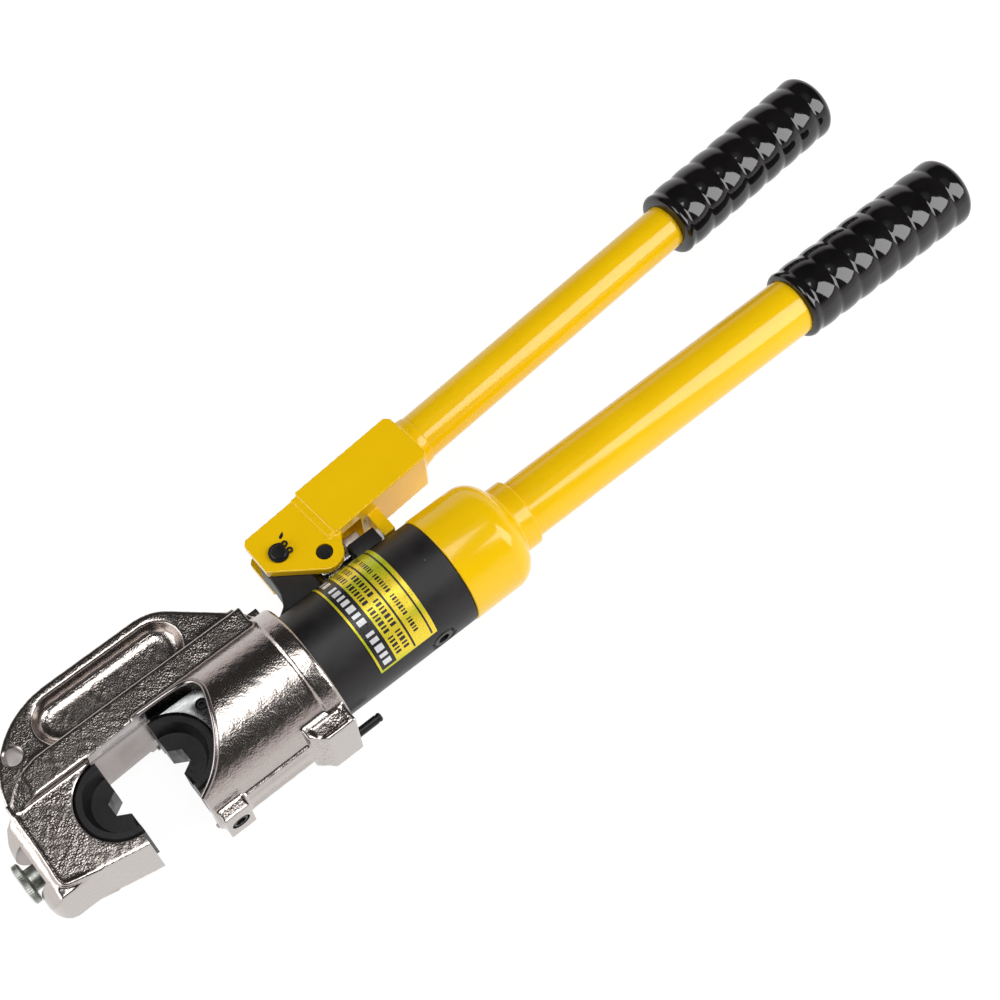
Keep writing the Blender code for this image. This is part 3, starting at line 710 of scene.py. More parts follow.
def band_outline():
    """The thick rib inside the C: rounded off at the tip, and wide enough to reach the housing."""
    inner_x = JAW_FACE_X + 0.5
    tip = [(TIP_PLATE_X + 2.0, BAND_INNER_Y), (TIP_PLATE_X + 2.0, 26.0), (-224.6, 29.6),
           (-220.2, 33.2), (-213.0, 36.9), (-205.0, BAND_OUTER_Y)]
    return tip + [(-89.5, BAND_OUTER_Y), (-89.5, 5.0), (-160.0, 5.0), (-160.0, 20.0),
                  (inner_x, 20.0), (inner_x, BAND_INNER_Y)]


def pocket_cutter(side):
    """A long hollow whose floor curves up into the rib on one side and the rim on the other.

    It is a stack of outlines, each from (z, lowest y, highest y)."""
    levels = [(3.1, 46.8, 58.6), (3.5, 45.2, 60.8), (4.6, 43.0, 62.8), (6.4, 41.1, 64.1),
              (8.6, 39.7, 64.8), (11.0, 39.0, 65.2), (12.0, 38.6, 66.0), (24.0, 37.0, 70.0)]
    rings = [[(x, y, side * z)
              for x, y in stadium(*POCKET_ENDS_X, (low + high) / 2, (high - low) / 2)]
             for z, low, high in levels]
    return skin("pocket", rings)


def bar(name, outline, low, high):
    """An outline in YZ extruded from x low to x high."""
    made = plate(name, outline, low, high)
    made.data.transform(Matrix(((0, 0, 1, 0), (1, 0, 0, 0), (0, 1, 0, 0), (0, 0, 0, 1))))
    return made


def web_root(side):
    """The concave fillet between the web and the rib."""
    curve = [(y, side * z) for y, z in arc(45.0, 17.5, 6.0, 180.0, 270.0, 8)]
    outline = [(37.0, side * 9.0), (37.0, side * 17.5)] + curve + [(45.0, side * 9.0)]
    return bar("web_root", outline, -208.0, -91.0)


def end_facet(side):
    """The wedge that slopes the rib's end down towards the tip."""
    start_x, slope = -213.5, 0.26
    cutter = block("end_facet", (-240.0, 10.0, 0.0), (start_x, 50.0, 10.0))
    for vert in cutter.data.vertices:
        vert.co.z = side * (vert.co.z + BAND_HALF + 0.05 + slope * (vert.co.x - start_x))
    if side < 0:
        cutter.data.flip_normals()
    return cutter


def jaw_outline():
    lobe = arc(EAR_X + 6.0, -16.4, 6.0, 180.0, 270.0, 8)
    slope = (JAW_SIDE_Y + 22.4) / (JAW_FACE_X + 214.0)
    inside_x = JAW_FACE_X + 3.0
    return ([(inside_x, 29.2), (-228.6, 29.2), (-228.6, 23.6), (-233.6, 21.4), (-237.4, 16.8),
             (EAR_X, 12.6)] + lobe + [(-214.0, -22.4), (inside_x, JAW_SIDE_Y + 3.0 * slope)])


def cast_body():
    """Everything of the head that comes from its mould, with soft edges."""
    start = HOUSING_FRONT_X - 3.0
    rim_front, rear = RIM_FRONT_X - start, HOUSING_REAR_X - start
    head = spindle("head_casting", [
        (0.0, HOUSING_R), (rim_front - 1.0, HOUSING_R), (rim_front, RIM_R), (rear - 1.2, RIM_R),
        (rear, RIM_R - 1.2)], (start, 0, 0))
    web = plate("web", spine_outline(), -SPINE_HALF, SPINE_HALF)
    band = plate("band", band_outline(), -BAND_HALF, BAND_HALF)
    jaw = plate("jaw", jaw_outline(), -JAW_HALF, JAW_HALF)
    waste = block("waste", (-260.0, -60.0, -30.0), (NOSE_X, BAND_INNER_Y, 30.0))
    nose = rod("nose", (NOSE_X, -70.0, 0.0), ALONG_Y, 140.0, NOSE_R, 96)
    cut(jaw, cut(waste, nose))
    for side in (-1, 1):
        cut(join(web, web_root(side)), pocket_cutter(side))
        cut(band, end_facet(side))
        lobe = [(-208.5, -22.0), (-229.5, -17.4), (-245.0, -16.0), (-245.0, -40.0), (-208.5, -40.0)]
        cut(jaw, plate("lobe_step", lobe, side * 16.2, side * 30.0))
    front_boss = block("front_boss", (-155.5, -39.3, -12.0), (-141.5, -25.0, 12.0))
    rear_boss = plate("rear_boss", [(-80.5, -40.6), (-96.0, -40.6), (-103.5, -34.0),
                                    (-103.5, -20.0), (-80.5, -20.0)], -20.0, 20.0)
    flange = block("flange", (-145.0, -34.7, -10.5), (-98.0, -26.0, 10.5))
    key = block("key", (-87.5, 28.0, -4.0), (-81.0, 41.0, 4.0))
    join(head, web, band, jaw, front_boss, rear_boss, flange, key)
    for side in (-1, 1):
        level = side * (JAW_HALF - 0.75)
        border = [(-226.8, 23.0, level), (-227.2, -4.0, level), (-228.2, -15.6, level),
                  (-226.6, -18.6, level), (-219.0, -20.4, level), (-209.5, -22.6, side * 17.2)]
        join(head, bead("border", relax_path(border, 3), 1.3))
        cut(head, block("recess", (-139.5, -40.0, side * 3.5), (-105.5, -33.9, side * 8.6)),
            block("facet", (-100.5, -38.6, side * 19.2), (-83.5, -30.5, side * 30.0)))
    return soften(head, 0.65, 7)


def lip_path(side):
    path = relax_path(WINDOW_LIP, 3)
    return [(x, y, side * math.sqrt(HOUSING_R ** 2 - y * y)) for x, y in path]


def ripple(obj, amount):
    """Give a casting the slight unevenness of its mould."""
    points = points_of(obj.data)
    normals = points_of(obj.data, "normal")
    wave = (np.sin(points[:, 0] * 0.83 + 1.3 * np.sin(points[:, 1] * 0.41))
            * np.sin(points[:, 1] * 0.71 + 1.1 * np.sin(points[:, 2] * 0.47))
            * np.cos(points[:, 2] * 0.67 + 0.9 * np.sin(points[:, 0] * 0.37)))
    set_points(obj.data, points + normals * (amount * (wave - 1.0))[:, None])
    return obj


def rubbed_head(points, normals):
    """How far each point is rubbed, from 0 for the sand-cast skin to 1 for smooth metal."""
    x, y, z = points.T
    nose = np.clip((TIP_PLATE_X - 0.8 - x) / 0.8, 0.0, 1.0)
    side = (x < HOUSING_FRONT_X) & (y < -19.0) & (normals[:, 1] < -0.75)
    flatness = np.abs(normals[:, 2])
    depth = np.abs(z)
    in_pocket = (y > 37.0) & (y < 66.0) & (x > -201.0) & (x < -116.0) & (depth < SPINE_HALF - 0.3)
    tilted = flatness < 0.955
    wall = (in_pocket & (flatness < 0.8)) | (in_pocket & (y < 48.0) & tilted)
    wall |= (y > 38.9) & (y < 46.0) & (x < -90.0) & (depth > SPINE_HALF + 0.1) & tilted
    boss_face = (y < -38.0) & (normals[:, 1] < -0.8)
    mask = np.maximum(nose, (side | wall | boss_face).astype(float))
    across = np.hypot(y, z)
    housing = (x > HOUSING_FRONT_X) & (across < RIM_R + 0.2) & (across > HOUSING_R - 1.0)
    band = (y > BAND_INNER_Y) & (y < BAND_OUTER_Y) & (x < HOUSING_FRONT_X) & (x > TIP_PLATE_X)
    for area, rub in ((in_pocket & (flatness > 0.8), 0.26), (band, 0.27), (housing, 0.28)):
        mask = np.maximum(mask, np.where(area, rub, 0.0))
    return mask


def flared_hole(name, half, radius, wide, start, steps):
    """A cutter for a hole through the head that widens over its last millimetre at both ends."""
    far = 30.0
    return spindle(name, [(-far, wide), (-half - 1.0, wide), (-half, radius), (half, radius),
                          (half + 1.0, wide), (far, wide)], start, ALONG_Z, steps)


def make_head():
    head = ripple(cast_body(), 0.05)
    slots(head, "cast", "nickel")
    mouth_outline = ([(JAW_FACE_X, -60.0), (JAW_FACE_X, BAND_INNER_Y - 2.0)]
                     + arc(JAW_FACE_X + 2.0, BAND_INNER_Y - 2.0, 2.0, 180.0, 90.0, 6)[1:]
                     + relax_path(WINDOW_LIP, 3)[6:] + [(HOUSING_FRONT_X, -60.0)])
    mouth = plate("mouth", mouth_outline, -45.0, 45.0)
    bore = rod("bore", (JAW_FACE_X + 0.4, 0, 0), ALONG_X, 82.6, BORE_R, 160)
    socket = rod("socket", (CYL_FRONT_X - 0.3, 0, 0), ALONG_X, 40.0, CYL_R + GAP, 128)
    seat = flared_hole("seat", JAW_HALF - 0.55, DIE_R + GAP, DIE_R + 1.4, (ANVIL_X, 0, 0), 160)
    eye = flared_hole("eye", SPINE_HALF - 0.8, 4.5, 5.6, (-212.5, 50.0, 0), 64)
    chamber = rod("chamber", (-245.0, 0, 0), ALONG_X, 27.0, 6.3, 64)
    lock_bore = rod("lock_bore", (-245.0, 0, 0), ALONG_X, 50.0, LOCK_PIN_R + GAP, 40)
    ear_gap = block("ear_gap", (EAR_X - 5.0, -EAR_SLOT_HALF, -30.0),
                    (TIP_FACE_X, EAR_SLOT_HALF, 30.0))
    screw_bore = rod("screw_bore", (SCREW_X, -50.0, 0), ALONG_Y, 17.0, 4.8, 64)
    pin_bore = rod("pin_bore", (-97.5, REAR_PIN[1], REAR_PIN[2]), ALONG_X, 30.0, 2.6, 40)
    cutters = [mouth, bore, socket, seat, eye, chamber, lock_bore, ear_gap, screw_bore, pin_bore]
    for cutter in cutters:
        cut(head, machined(cutter), solver="MANIFOLD")
    for side in (-1, 1):
        join(head, machined(bead("lip", lip_path(side), 1.35, 16)), solver="MANIFOLD")
    mark_smooth(head, 3, 1.6, rubbed_head)
    place(head, "body", ["head_yoke"])


# ---- dies and ram

def die(face_x, side):
    """A half-round die: side is +1 where its body lies towards +X of its parting face."""
    half = lathe("die", [
        (DIE_HALF - DIE_WEB_HALF, 0.0), (DIE_HALF - DIE_WEB_HALF, DIE_WEB_R), (0.0, DIE_RING_R),
        (0.0, DIE_R - 1.2), (1.2, DIE_R), (2 * DIE_HALF - 1.2, DIE_R), (2 * DIE_HALF, DIE_R - 1.2),
        (2 * DIE_HALF, DIE_RING_R), (DIE_HALF + DIE_WEB_HALF, DIE_WEB_R),
        (DIE_HALF + DIE_WEB_HALF, 0.0)], (face_x, 0, -DIE_HALF), ALONG_Z, 144)
    cut(half, block("halving", (face_x, -40.0, -40.0), (face_x - side * 40.0, 40.0, 40.0)))
    depth = NOTCH_SIDE * math.sqrt(3) / 2
    cut(half, plate("notch", [
        (face_x - side * 5.0, -NOTCH_SIDE), (face_x, -NOTCH_SIDE),
        (face_x + side * depth, -NOTCH_SIDE / 2), (face_x + side * depth, NOTCH_SIDE / 2),
        (face_x, NOTCH_SIDE), (face_x - side * 5.0, NOTCH_SIDE)], -30.0, 30.0))
    center = AXIS + Vector((face_x, 0.0, 0.0)) * MM
    return slots(half, black_oxide("die_oxide", center))


def make_dies():
    anvil = die(ANVIL_X, -1)
    anvil.name = "anvil_die_half"
    cut(anvil, rod("pin_hole", (-210.0, 0, 0), ALONG_X, 8.5, LOCK_PIN_R + GAP, 40))
    place(round_edges(anvil, 0.22, 2, 30.0), "body", ["anvil_die"])
    moving = die(RAM_DIE_X, 1)
    moving.name = "ram_die_half"
    place(round_edges(moving, 0.22, 2, 30.0), "ram", ["ram_die"])


def make_ram():
    depth = RAM_REAR_X - RAM_FACE_X
    end = PISTON_REAR_X - RAM_FACE_X
    hollow = -128.0 - RAM_FACE_X
    seal, guide = -68.0 - RAM_FACE_X, -76.0 - RAM_FACE_X
    groove_r, hollow_r = 18.5, 12.0
    grooves = []
    for start, width in ((guide, 4.5), (seal, 4.0)):
        grooves += [(start, PISTON_R), (start, groove_r), (start + width, groove_r),
                    (start + width, PISTON_R)]
    ram = lathe("ram_body", [
        (0.0, 0.0), (0.0, RAM_R - 0.5), (0.5, RAM_R), (depth, RAM_R), (depth, PISTON_R), *grooves,
        (end, PISTON_R), (end, hollow_r), (hollow, hollow_r), (hollow, 0.0)],
        (RAM_FACE_X, 0, 0), steps=160)
    for side in (-1, 1):
        cut(ram, block("flat", (-160.0, -40.0, side * RAM_HALF), (-116.5, 40.0, side * 40.0)))
    cut(ram, rod("ram_seat", (RAM_DIE_X, 0, -40), ALONG_Z, 80.0, DIE_R + GAP, 144),
        rod("hole", (*RAM_SCREW, 12.0), ALONG_Z, 20.0, 3.1))
    round_edges(ram, 0.3, 2, 30.0)
    place(slots(ram, "steel"), "ram", ["ram"])
    screw = spindle("ram_screw", [(0.0, 2.8), (4.7, 2.8), (5.2, 2.3)],
                    (*RAM_SCREW, 12.3), ALONG_Z, 48)
    cut(screw, plate("socket", hexagon(*RAM_SCREW, 2.6), 15.4, 20.0))
    place(slots(screw, "oxide"), "ram", ["ram_die_screw"])


# ---- lock knob, rear pin, screws

def make_knob():
    profile = [(0.0, 0.0), (0.0, 6.6), (0.35, 7.2), (0.35, KNOB_R - 1.5), (0.0, KNOB_R - 0.9),
               (0.6, KNOB_R - 0.15), (KNOB_THICK - 0.6, KNOB_R - 0.15), (KNOB_THICK, KNOB_R - 0.9),
               (KNOB_THICK, 6.4), (KNOB_THICK + 0.6, 5.8), (KNOB_THICK + 6.2, 5.8),
               (KNOB_THICK + 6.2, LOCK_PIN_R + GAP), (2.0, LOCK_PIN_R + GAP), (2.0, 0.0)]
    knob = lathe("lock_knob", profile, (KNOB_X, 0, 0), steps=216)
    points = points_of(knob.data)
    across = np.hypot(points[:, 1], points[:, 2])
    angle = np.arctan2(points[:, 2], points[:, 1])
    teeth, tooth_height = 54.0, 0.15
    tooth = tooth_height * np.cos(teeth * angle)
    rim = across > KNOB_R - 0.5
    scale = np.where(rim, (across + tooth) / across, 1.0)
    points[:, 1] *= scale
    points[:, 2] *= scale
    set_points(knob.data, points)
    place(slots(knob, "zinc"), "die_lock", ["die_lock_knob"], 25.0)


def socket_screw(name, start, length, radius, chamfer, key, replaced):
    """A screw set into the side, with a hexagon hole from (radius, depth, depth of its tip)."""
    key_radius, key_depth, tip_depth = key
    profile = [(0.0, radius - chamfer), (chamfer, radius), (length, radius)]
    screw = spindle(name, profile, start, ALONG_Y, 64)
    hole = [(-6.0, 0.0), (-6.0, key_radius), (key_depth, key_radius), (tip_depth, 0.0)]
    cut(screw, lathe("key_hole", hole, start, ALONG_Y, NUT_SIDES))
    place(slots(screw, "oxide"), "body", [replaced])


def make_small_steel():
    pin = spindle("rear_pin", [
        (0.0, 1.7), (0.6, 2.3), (26.3, 2.3), (26.5, 2.0), (27.1, 2.0), (27.3, 2.3), (28.4, 2.3),
        (29.0, 1.7)], REAR_PIN, steps=48)
    place(slots(pin, "oxide"), "rear_pin", ["rear_lock_pin"])
    socket_screw("front_set_screw", (SCREW_X, -39.0, 0), 5.5, 4.5, 0.8, (3.0, 3.0, 4.2),
                 "front_boss_screw")
    socket_screw("filler_plug", (PLUG_X, -28.6, 0), 9.0, 6.1, 0.9, (3.4, 3.1, 4.4), "side_plug")


# ---- cylinder, label, reservoir

def make_cylinder():
    back = -CYL_FRONT_X
    chamber = CHAMBER_END_X - CYL_FRONT_X
    body = lathe("cylinder_body", [
        (0.0, CHAMBER_R), (0.0, CYL_R - 0.8), (0.8, CYL_R), (back - 0.4, CYL_R),
        (back, CYL_R - 0.4), (back, 24.0), (back + 13.0, 24.0), (back + 14.0, 23.0),
        (back + 14.0, 0.0), (chamber, 0.0), (chamber, CHAMBER_R)], (CYL_FRONT_X, 0, 0), steps=192)
    fx, fy = FULCRUM
    bracket = plate("bracket", [(-78.2, 20.0), (-76.0, 28.0), (-71.0, 31.5), (-68.3, 37.5),
                                (-67.5, 46.0)]
                    + arc(fx, fy, 11.0, 170.0, 30.0, 20) + [(-49.5, 46.0), (-49.5, 20.0)],
                    -8.2, 8.2)
    foot = rod("foot", (-81.0, 0, 0), ALONG_X, 36.0, CYL_R - 0.35, 128)
    pad = rod("gland_pad", (PLUNGER[0], 20.0, 0), ALONG_Y, 8.2, 10.4, 64)
    join(bracket, foot, pad)
    soften(bracket, 0.55, 14)
    flatten(bracket, [((0, 0, 8.2), ALONG_Z), ((0, 0, -8.2), (0, 0, -1))])
    join(body, bracket, solver="MANIFOLD")
    px = PLUNGER[0]
    stem = spindle("stem", [(14.0, STEM_BORE_R), (44.0, STEM_BORE_R)], (BUTTON_X, 0, 0), ALONG_Y,
                   40)
    plug_hole = spindle("plug_hole", [(-40.0, 7.4), (-28.7, 7.4), (-27.7, 6.4), (-10.0, 6.4)],
                        (PLUG_X, 0, 0), ALONG_Y, 64)
    cut(body, rod("spot", (px, 27.3, 0), ALONG_Y, 12.0, 9.2, 64),
        rod("thread", (px, 20.0, 0), ALONG_Y, 20.0, 7.3),
        rod("pump_bore", (px, -6.0, 0), ALONG_Y, 50.0, GLAND_R),
        rod("pin_hole", (fx, fy, -20.0), ALONG_Z, 40.0, PIN_R + GAP),
        stem, plug_hole, rod("feed", (-30.0, 0, -8.0), ALONG_X, 50.0, 3.0, 24),
        rod("outlet", (CHAMBER_END_X - 10.0, -14.0, 0), ALONG_X, 24.0, 2.0, 24),
        solver="MANIFOLD")
    place(slots(body, "black"), "body", ["hydraulic_cylinder"], 28.0)


FOIL, INK, PALE_INK = 0, 1, 2
LABEL_ROWS = [
    (-53.4, -49.0, -62.0, 60.0, 5.6, 2.9, PALE_INK), (-45.7, -42.6, -60.0, 57.0, 2.8, 1.7, INK),
    (-41.1, -38.0, -60.0, 52.0, 3.0, 1.8, INK), (-33.2, -30.6, -52.0, 58.0, 2.2, 1.4, INK)]


def bar_row(x0, x1, start, end, width, gap, slot):
    """Plain bars of uneven length in a row. All but the two x are degrees round the cylinder."""
    bars = []
    place_in_row = 0
    while start + width < end:
        length = width * (1.0, 0.7, 1.15, 0.85, 0.6)[place_in_row % 5]
        bars.append((x0, x1, start, start + length, slot))
        start += length + gap * (3.0 if place_in_row % 7 == 4 else 1.0)
        place_in_row += 1
    return bars


def make_label():
    """A printed foil wrapped round the upper side, with plain bars where text would be."""
    low_x, high_x = -56.5, -23.0
    low_a, high_a = -68.0, 65.5
    inside = (low_a + 2.2, high_a - 2.2)
    bands = [(low_x, high_x, low_a, high_a, FOIL), (-55.4, -47.0, *inside, INK),
             (-36.6, -35.5, *inside, INK), (-26.3, -25.3, *inside, INK)]
    for row in LABEL_ROWS:
        bands += bar_row(*row)
    edges_x = sorted({value for band in bands for value in band[:2]})
    marks = sorted({value for band in bands for value in band[2:4]})
    edges_a = []
    for first, second in zip(marks, marks[1:]):
        count = max(1, math.ceil((second - first) / 3.0))
        edges_a += [first + (second - first) * i / count for i in range(count)]
    edges_a.append(marks[-1])
    bm = bmesh.new()

    def layer(radius):
        turns = [math.radians(a) for a in edges_a]
        return [[bm.verts.new((x, radius * math.sin(turn), radius * math.cos(turn)))
                 for turn in turns] for x in edges_x]

    outer, inner = layer(CYL_R + 2 * GAP), layer(CYL_R + GAP)
    for i in range(len(edges_x) - 1):
        for j in range(len(edges_a) - 1):
            x = (edges_x[i] + edges_x[i + 1]) / 2
            a = (edges_a[j] + edges_a[j + 1]) / 2
            face = bm.faces.new((outer[i][j], outer[i + 1][j],
                                 outer[i + 1][j + 1], outer[i][j + 1]))
            face.material_index = [b[4] for b in bands if b[0] < x < b[1] and b[2] < a < b[3]][-1]
            bm.faces.new((inner[i][j], inner[i][j + 1], inner[i + 1][j + 1], inner[i + 1][j]))
    last_i, last_j = len(edges_x) - 1, len(edges_a) - 1
    for i in range(last_i):
        for j in (0, last_j):
            bm.faces.new((outer[i][j], outer[i + 1][j], inner[i + 1][j], inner[i][j]))
    for j in range(last_j):
        for i in (0, last_i):
            bm.faces.new((outer[i][j], outer[i][j + 1], inner[i][j + 1], inner[i][j]))
    label = slots(new_solid("label_foil", bm), "foil", "ink", "pale_ink")
    place(label, "body", ["label_plate"])


def grip_profile(length, outer, bore):
    """Full rings, wide convex crests with narrow valleys between them, and a closed end."""
    steps = 150
    profile = [(0.0, bore + GAP)]
    for i in range(steps + 1):
        s = length * i / steps
        swing = abs(math.cos(math.pi * (s - RING_FIRST) / RING_PITCH))
        radius = outer - RING_DEPTH * (1.0 - swing) ** 1.25
        if s < 3.0:
            radius -= 3.0 - math.sqrt(9.0 - (3.0 - s) ** 2)
        if s > length - 6.0:
            radius = min(radius, outer) - 6.0 + math.sqrt(max(36.0 - (s - length + 6.0) ** 2, 0.0))
        profile.append((s, radius))
    depth = length - GRIP_END + GAP
    return profile + [(length, 0.0), (depth, 0.0), (depth, bore + GAP)]


def make_reservoir():
    nose = arc(CAP_R - 0.8, GAP + 0.8, 0.8, -90.0, 0.0, 6)
    shoulder = arc(CAP_R - SHOULDER, CAP_END_X - SHOULDER, SHOULDER, 0.0, 72.0, 26)
    fillet = arc(COLLAR_R + 1.5, CAP_END_X + 1.5, 1.5, 270.0, 180.0, 6)
    end = arc(COLLAR_R - 1.0, COLLAR_END_X - 1.0, 1.0, 0.0, 90.0, 6)
    outside = [(x, r) for r, x in nose + shoulder + fillet + end]
    inside = [(COLLAR_END_X, HANDLE_R + GAP), (32.0, HANDLE_R + GAP), (28.0, 22.0), (20.0, 22.0),
              (15.0, 24.3)]
    cap = lathe("oil_cap", [(GAP, 24.3)] + outside + inside, steps=192)
    place(slots(cap, "enamel"), "body", ["reservoir_cap"])
    length = HANDLE_END_X - GRIP_END - HANDLE_START_X
    bore_r = 14.2
    tube = lathe("reservoir_tube", tube_profile(length, bore_r, HANDLE_R), (HANDLE_START_X, 0, 0),
                 steps=160)
    place(slots(tube, "enamel"), "body", ["handle_tube"])
    grip = lathe("main_grip", grip_profile(HANDLE_END_X - HANDLE_GRIP_X, HANDLE_GRIP_R, HANDLE_R),
                 (HANDLE_GRIP_X, 0, 0), steps=144)
    place(slots(grip, "grip"), "body", ["handle_grip"])


def tube_profile(length, inner, outer):
    return [(0.0, inner), (0.0, outer - 0.5), (0.5, outer), (length - 0.5, outer),
            (length, outer - 0.5), (length, inner)]


# ---- pump

def make_pump():
    px, py = PLUNGER
    nut = lathe("gland_nut", [
        (0.0, GLAND_R), (0.0, 7.0), (7.3, 7.0), (7.3, 7.9), (9.9, 7.9), (9.9, GLAND_R)],
        (px, 20.3, 0), ALONG_Y, 64)
    join(nut, lathe("gland_hex", [
        (0.0, GLAND_R), (0.0, 8.2), (0.35, 8.6), (2.2, 8.6), (2.6, 8.0), (2.6, GLAND_R)],
        (px, 27.6, 0), ALONG_Y, NUT_SIDES))
    cut(nut, rod("through", (px, 10.0, 0), ALONG_Y, 40.0, GLAND_R, 64))
    place(slots(nut, "nickel"), "body", ["plunger_gland_nut"])
    slot_low, slot_high = px - PIN_R - 0.3, -35.0 + PIN_R + 0.3
    plunger = spindle("plunger_body", [(0.0, 5.0), (0.5, 5.5), (35.0, 5.5)],
                      (px, 0, 0), ALONG_Y, 64)
    eye = block("eye", (slot_low - 3.0, 31.0, -7.5), (-28.7, 47.0, 7.5))
    join(plunger, round_edges(eye, 1.6, 4))
    cut(plunger, block("slot", (slot_low, py - 4.9, -20.0), (slot_high, py + 4.9, 20.0)))
    round_edges(plunger, 0.3, 2)
    place(slots(plunger, "bright"), "plunger", ["pump_plunger"])
    valve = block("valve_body", (BLOCK_X0, 20.0, -10.5), (BLOCK_X1, BLOCK_TOP_Y, 10.5))
    cut(valve, rod("saddle", (-60.0, 0, 0), ALONG_X, 80.0, CYL_R + GAP, 128))
    round_edges(valve, 1.0, 4)
    cut(valve, rod("stem", (BUTTON_X, 10.0, 0), ALONG_Y, 40.0, STEM_BORE_R, 40),
        rod("counterbore", (BUTTON_X, 29.7, 0), ALONG_Y, 40.0, 3.6))
    place(slots(valve, "black"), "body", ["valve_block"])
    button = block("relief_button", (BUTTON_X - 3.9, 37.7, -4.7),
                   (BUTTON_X + 5.7, BUTTON_TOP_Y, 4.7))
    round_edges(button, 0.7)
    join(button, rod("stem", (BUTTON_X, 20.0, 0), ALONG_Y, 20.0, 2.0, 40))
    place(slots(button, "satin"), "release", ["release_button"])


# ---- lever

def fork_outline():
    px, py = PLUNGER
    bottom = [lever_point(26.0, -15.5), lever_point(-27.0, -15.5)]
    eye = arc(px, py, 9.5, -10.0, -127.0, 18)
    front = [(FORK_FRONT_X, 48.2), (FORK_FRONT_X, 66.8), (-65.6, 69.0)]
    top = [lever_point(-36.0, 12.4), lever_point(-32.0, FORK_TOP_V), lever_point(26.0, FORK_TOP_V)]
    return bottom + eye + front + top


def lever_box():
    """The wide middle of the lever."""
    low, high, corner = -31.0, 30.5, 2.5
    outline = [(low, BOX_BOTTOM_V), (high - corner, BOX_BOTTOM_V), (high, BOX_BOTTOM_V + corner),
               (high, BOX_TOP_V - corner), (high - corner, BOX_TOP_V), (low, BOX_TOP_V)]
    return plate("lever_box", [lever_point(u, v) for u, v in outline], -BOX_HALF, BOX_HALF)


def make_fork():
    fork = plate("fork", fork_outline(), -CHEEK_HALF, CHEEK_HALF)
    ramps = []
    for start, low, high in ((-35.4, 12.9, 14.3), (-31.0, 13.9, BOX_HALF)):
        foot, crest = ([lever_point(*point) for point in ((begin, -15.6), (-20.0, -15.6),
                                                          (-20.0, 12.6), (begin, 12.6))]
                       for begin in (start, start + 0.9))
        ramps += [loft("ramp", foot, low, crest, high), loft("ramp", crest, -high, foot, -low)]
    flare = spindle("flare", [(0.0, 14.6), (4.0, 14.6), (8.0, 13.6), (12.0, 13.0)],
                    (*lever_point(25.0, 0.0), 0), lever_axis())
    tab = block("tab", (-10.4, 29.9, -7.0), (-3.7, 50.0, 7.0))
    join(fork, lever_box(), flare, tab, *ramps)
    soften(fork, 0.45, 6)
    across = (-math.sin(LEVER_TILT), math.cos(LEVER_TILT), 0.0)
    planes = [((0, 0, side * half), (0, 0, side))
              for side in (-1, 1) for half in (CHEEK_HALF, BOX_HALF)]
    planes += [((*lever_point(0.0, BOX_TOP_V), 0.0), across),
               ((*lever_point(0.0, FORK_TOP_V), 0.0), across),
               ((*lever_point(0.0, BOX_BOTTOM_V), 0.0), tuple(-value for value in across)),
               ((FORK_FRONT_X, 55.0, 0.0), (-1, 0, 0))]
    flatten(fork, planes)
    channel = block("channel", (-80.0, 10.0, -CHANNEL_HALF), (-14.0, 100.0, CHANNEL_HALF))
    keep = plate("keep", [lever_point(-34.0, 9.0), lever_point(0.0, 9.0),
                          lever_point(0.0, 20.0), lever_point(-34.0, 20.0)], -30.0, 30.0)
    cut(channel, keep)
    fx, fy = FULCRUM
    px, py = PLUNGER
    cut(fork, channel,
        rod("socket", (*lever_point(8.0, 0.0), 0), lever_axis(), 40.0, LEVER_TUBE_R + GAP, 128),
        rod("fulcrum_hole", (fx, fy, -30.0), ALONG_Z, 60.0, PIN_R + GAP),
        rod("plunger_hole", (px, py, -30.0), ALONG_Z, 60.0, PIN_R + GAP), solver="MANIFOLD")
    place(slots(fork, "enamel"), "lever", ["pump_lever_fork"], 40.0)


def make_lever():
    make_fork()
    make_chip()
    length = LEVER_GRIP_U + LEVER_GRIP_LENGTH - GRIP_END - LEVER_TUBE_U
    bore_r = 10.5
    tube = lathe("pump_tube", tube_profile(length, bore_r, LEVER_TUBE_R),
                 (*lever_point(LEVER_TUBE_U, 0.0), 0), lever_axis(), 144)
    place(slots(tube, "enamel"), "lever", ["lever_tube"])
    grip = lathe("pump_grip", grip_profile(LEVER_GRIP_LENGTH, LEVER_GRIP_R, LEVER_TUBE_R),
                 (*lever_point(LEVER_GRIP_U, 0.0), 0), lever_axis(), 144)
    place(slots(grip, "grip"), "lever", ["lever_grip"])
    fx, fy = FULCRUM
    px, py = PLUNGER
    pin = spindle("pivot_pin", [
        (0.0, 3.5), (0.5, PIN_R), (0.8, PIN_R), (0.8, 3.3), (2.0, 3.3), (2.0, PIN_R), (29.6, PIN_R),
        (29.6, 3.3), (30.8, 3.3), (30.8, PIN_R), (31.1, PIN_R), (31.6, 3.5)],
        (fx, fy, -15.8), ALONG_Z, 64)
    place(slots(pin, "oxide"), "lever", ["fulcrum_pin"])
    link_pin = spindle("link_pin", [(0.0, 3.4), (0.6, PIN_R), (26.0, PIN_R), (26.6, 3.4)],
                       (px, py, -13.3), ALONG_Z, 64)
    place(slots(link_pin, "oxide"), "lever", ["plunger_pin"])
    for side, name in ((-1, "low"), (1, "high")):
        clip = retaining_ring("retaining_ring_" + name, side * 14.4)
        place(slots(clip, "oxide"), "lever", ["circlip_" + name])


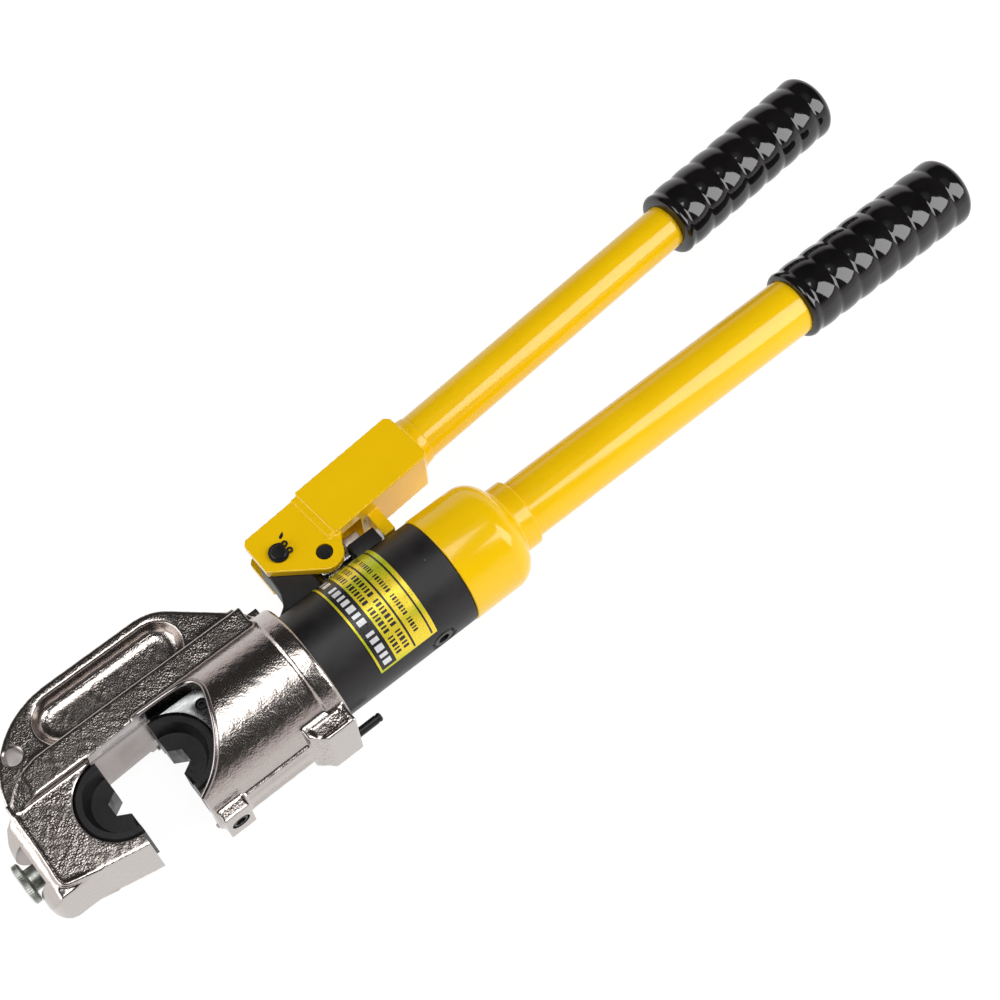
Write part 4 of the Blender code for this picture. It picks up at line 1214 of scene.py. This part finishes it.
def retaining_ring(name, z):
    """An open ring with two ears round the fulcrum pin, each ear with a plier hole."""
    fx, fy = FULCRUM
    outline = arc(fx, fy, 5.2, 24.0, 336.0, 72) + arc(fx, fy, 3.6, 336.0, 24.0, 72)
    ring = plate(name, outline, z - 0.4, z + 0.4)
    for side in (-1, 1):
        ear = (fx + 5.0, fy + side * 2.15, z - 0.4)
        join(ring, rod("ear", ear, ALONG_Z, 0.8, 1.65, 32))
        cut(ring, rod("ear_hole", (ear[0], ear[1], z - 2.0), ALONG_Z, 4.0, 0.75, 24))
    return round_edges(ring, 0.12, 1, 40.0)


def make_chip():
    """A small leaf-shaped chip in the paint of the upper cheek, down to the dark primer."""
    fx, fy = FULCRUM[0] + 6.3, FULCRUM[1] + 7.2
    leaf = [(-1.5, -1.3), (-0.2, -1.5), (1.2, -0.5), (2.0, 1.3), (0.4, 0.8), (-0.9, 0.2),
            (-1.4, -0.4)]
    chip = plate("paint_chip", [(fx + x, fy + y) for x, y in leaf],
                 CHEEK_HALF - 0.15, CHEEK_HALF + 0.03)
    place(slots(chip, "oxide"), "lever")


# ---- parts that keep their CAD shape

CARRIED_OVER = {
    "die_lock_pin": "bright", "die_lock_spring": "bright", "ram_spring_post": "bright",
    "ram_return_spring": "bright", "release_spring": "bright", "inlet_check_ball": "bright",
    "piston_seal": "rubber", "oil_bladder": "rubber", "piston_guide_ring": "resin",
}


def finish_carried_over():
    for name, finish in CARRIED_OVER.items():
        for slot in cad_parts[name].material_slots:
            slot.material = MATERIALS[finish]


# ---- studio

def tool_point(x, y, z):
    """A point of the tool, in metres in the CAD frame."""
    return AXIS + Vector((x, y, z)) * MM


def area_light(name, where, target, width, height, power):
    light = bpy.data.lights.new(name, "AREA")
    light.shape = "RECTANGLE"
    light.size = width
    light.size_y = height
    light.energy = power
    obj = linked(name, light)
    obj.location = where
    obj.rotation_euler = (where - target).to_track_quat("Z", "Y").to_euler()


def make_floor():
    bm = bmesh.new()
    bmesh.ops.create_grid(bm, x_segments=2, y_segments=2, size=2.5)
    floor = new_object("studio_floor", bm)
    floor.location = (0.0, 0.0, FLOOR_Z)
    paper = material("floor_paper", (0.12, 0.12, 0.12), 0.9, 0.0,
                     {"Emission Color": (1.0, 1.0, 1.0, 1.0), "Emission Strength": 0.93})
    floor.data.materials.append(paper.owner)


def make_world():
    world = bpy.data.worlds.new("studio")
    bpy.context.scene.world = world
    sky = Look(world, "Background")
    split = sky.add("SeparateXYZ", Vector=sky.add("TexCoord").outputs["Generated"])
    sky.paint("Color", split.outputs["Z"], (0.0, (0.95, 0.89, 0.90)), (0.2, (0.8, 0.74, 0.745)),
              (0.42, (0.03, 0.029, 0.029)), (0.92, (0.03, 0.029, 0.029)), (1.0, (0.3, 0.3, 0.3)))
    sky.shader.inputs["Strength"].default_value = 1.0


def make_camera():
    right = Vector((0.77207, -0.63497, -0.02682))
    up = Vector((0.57909, 0.68549, 0.44131))
    back = Vector((-0.26184, -0.35626, 0.89695))
    camera = bpy.data.cameras.new("camera")
    camera.lens = 67.06
    camera.sensor_width = 36.0
    camera.shift_x = 0.0031
    camera.shift_y = 0.0022
    camera.clip_start = 0.01
    obj = linked("camera", camera)
    turn = Matrix((right, up, back)).transposed()
    obj.matrix_world = Matrix.Translation(tool_point(-197.01, -317.96, 828.91)) @ turn.to_4x4()
    bpy.context.scene.camera = obj


def make_studio():
    make_floor()
    make_world()
    middle = tool_point(20.0, 20.0, 0.0)
    key = middle + 1.35 * Vector((0.55, -0.54, 0.63)).normalized()
    area_light("key_softbox", key, middle, 0.66, 1.0, 11.5)
    area_light("overhead_softbox", tool_point(-150.0, -110.0, 1550.0), tool_point(-60.0, 20.0, 0.0),
               0.8, 0.92, 8.5)
    area_light("side_softbox", tool_point(-1000.0, 260.0, 420.0), tool_point(-100.0, 10.0, 0.0),
               0.9, 0.6, 4.5)
    bpy.context.scene.view_settings.view_transform = "Standard"


make_camera()
make_head()
make_dies()
make_ram()
make_knob()
make_small_steel()
make_cylinder()
make_label()
make_reservoir()
make_pump()
make_lever()
finish_carried_over()
make_studio()
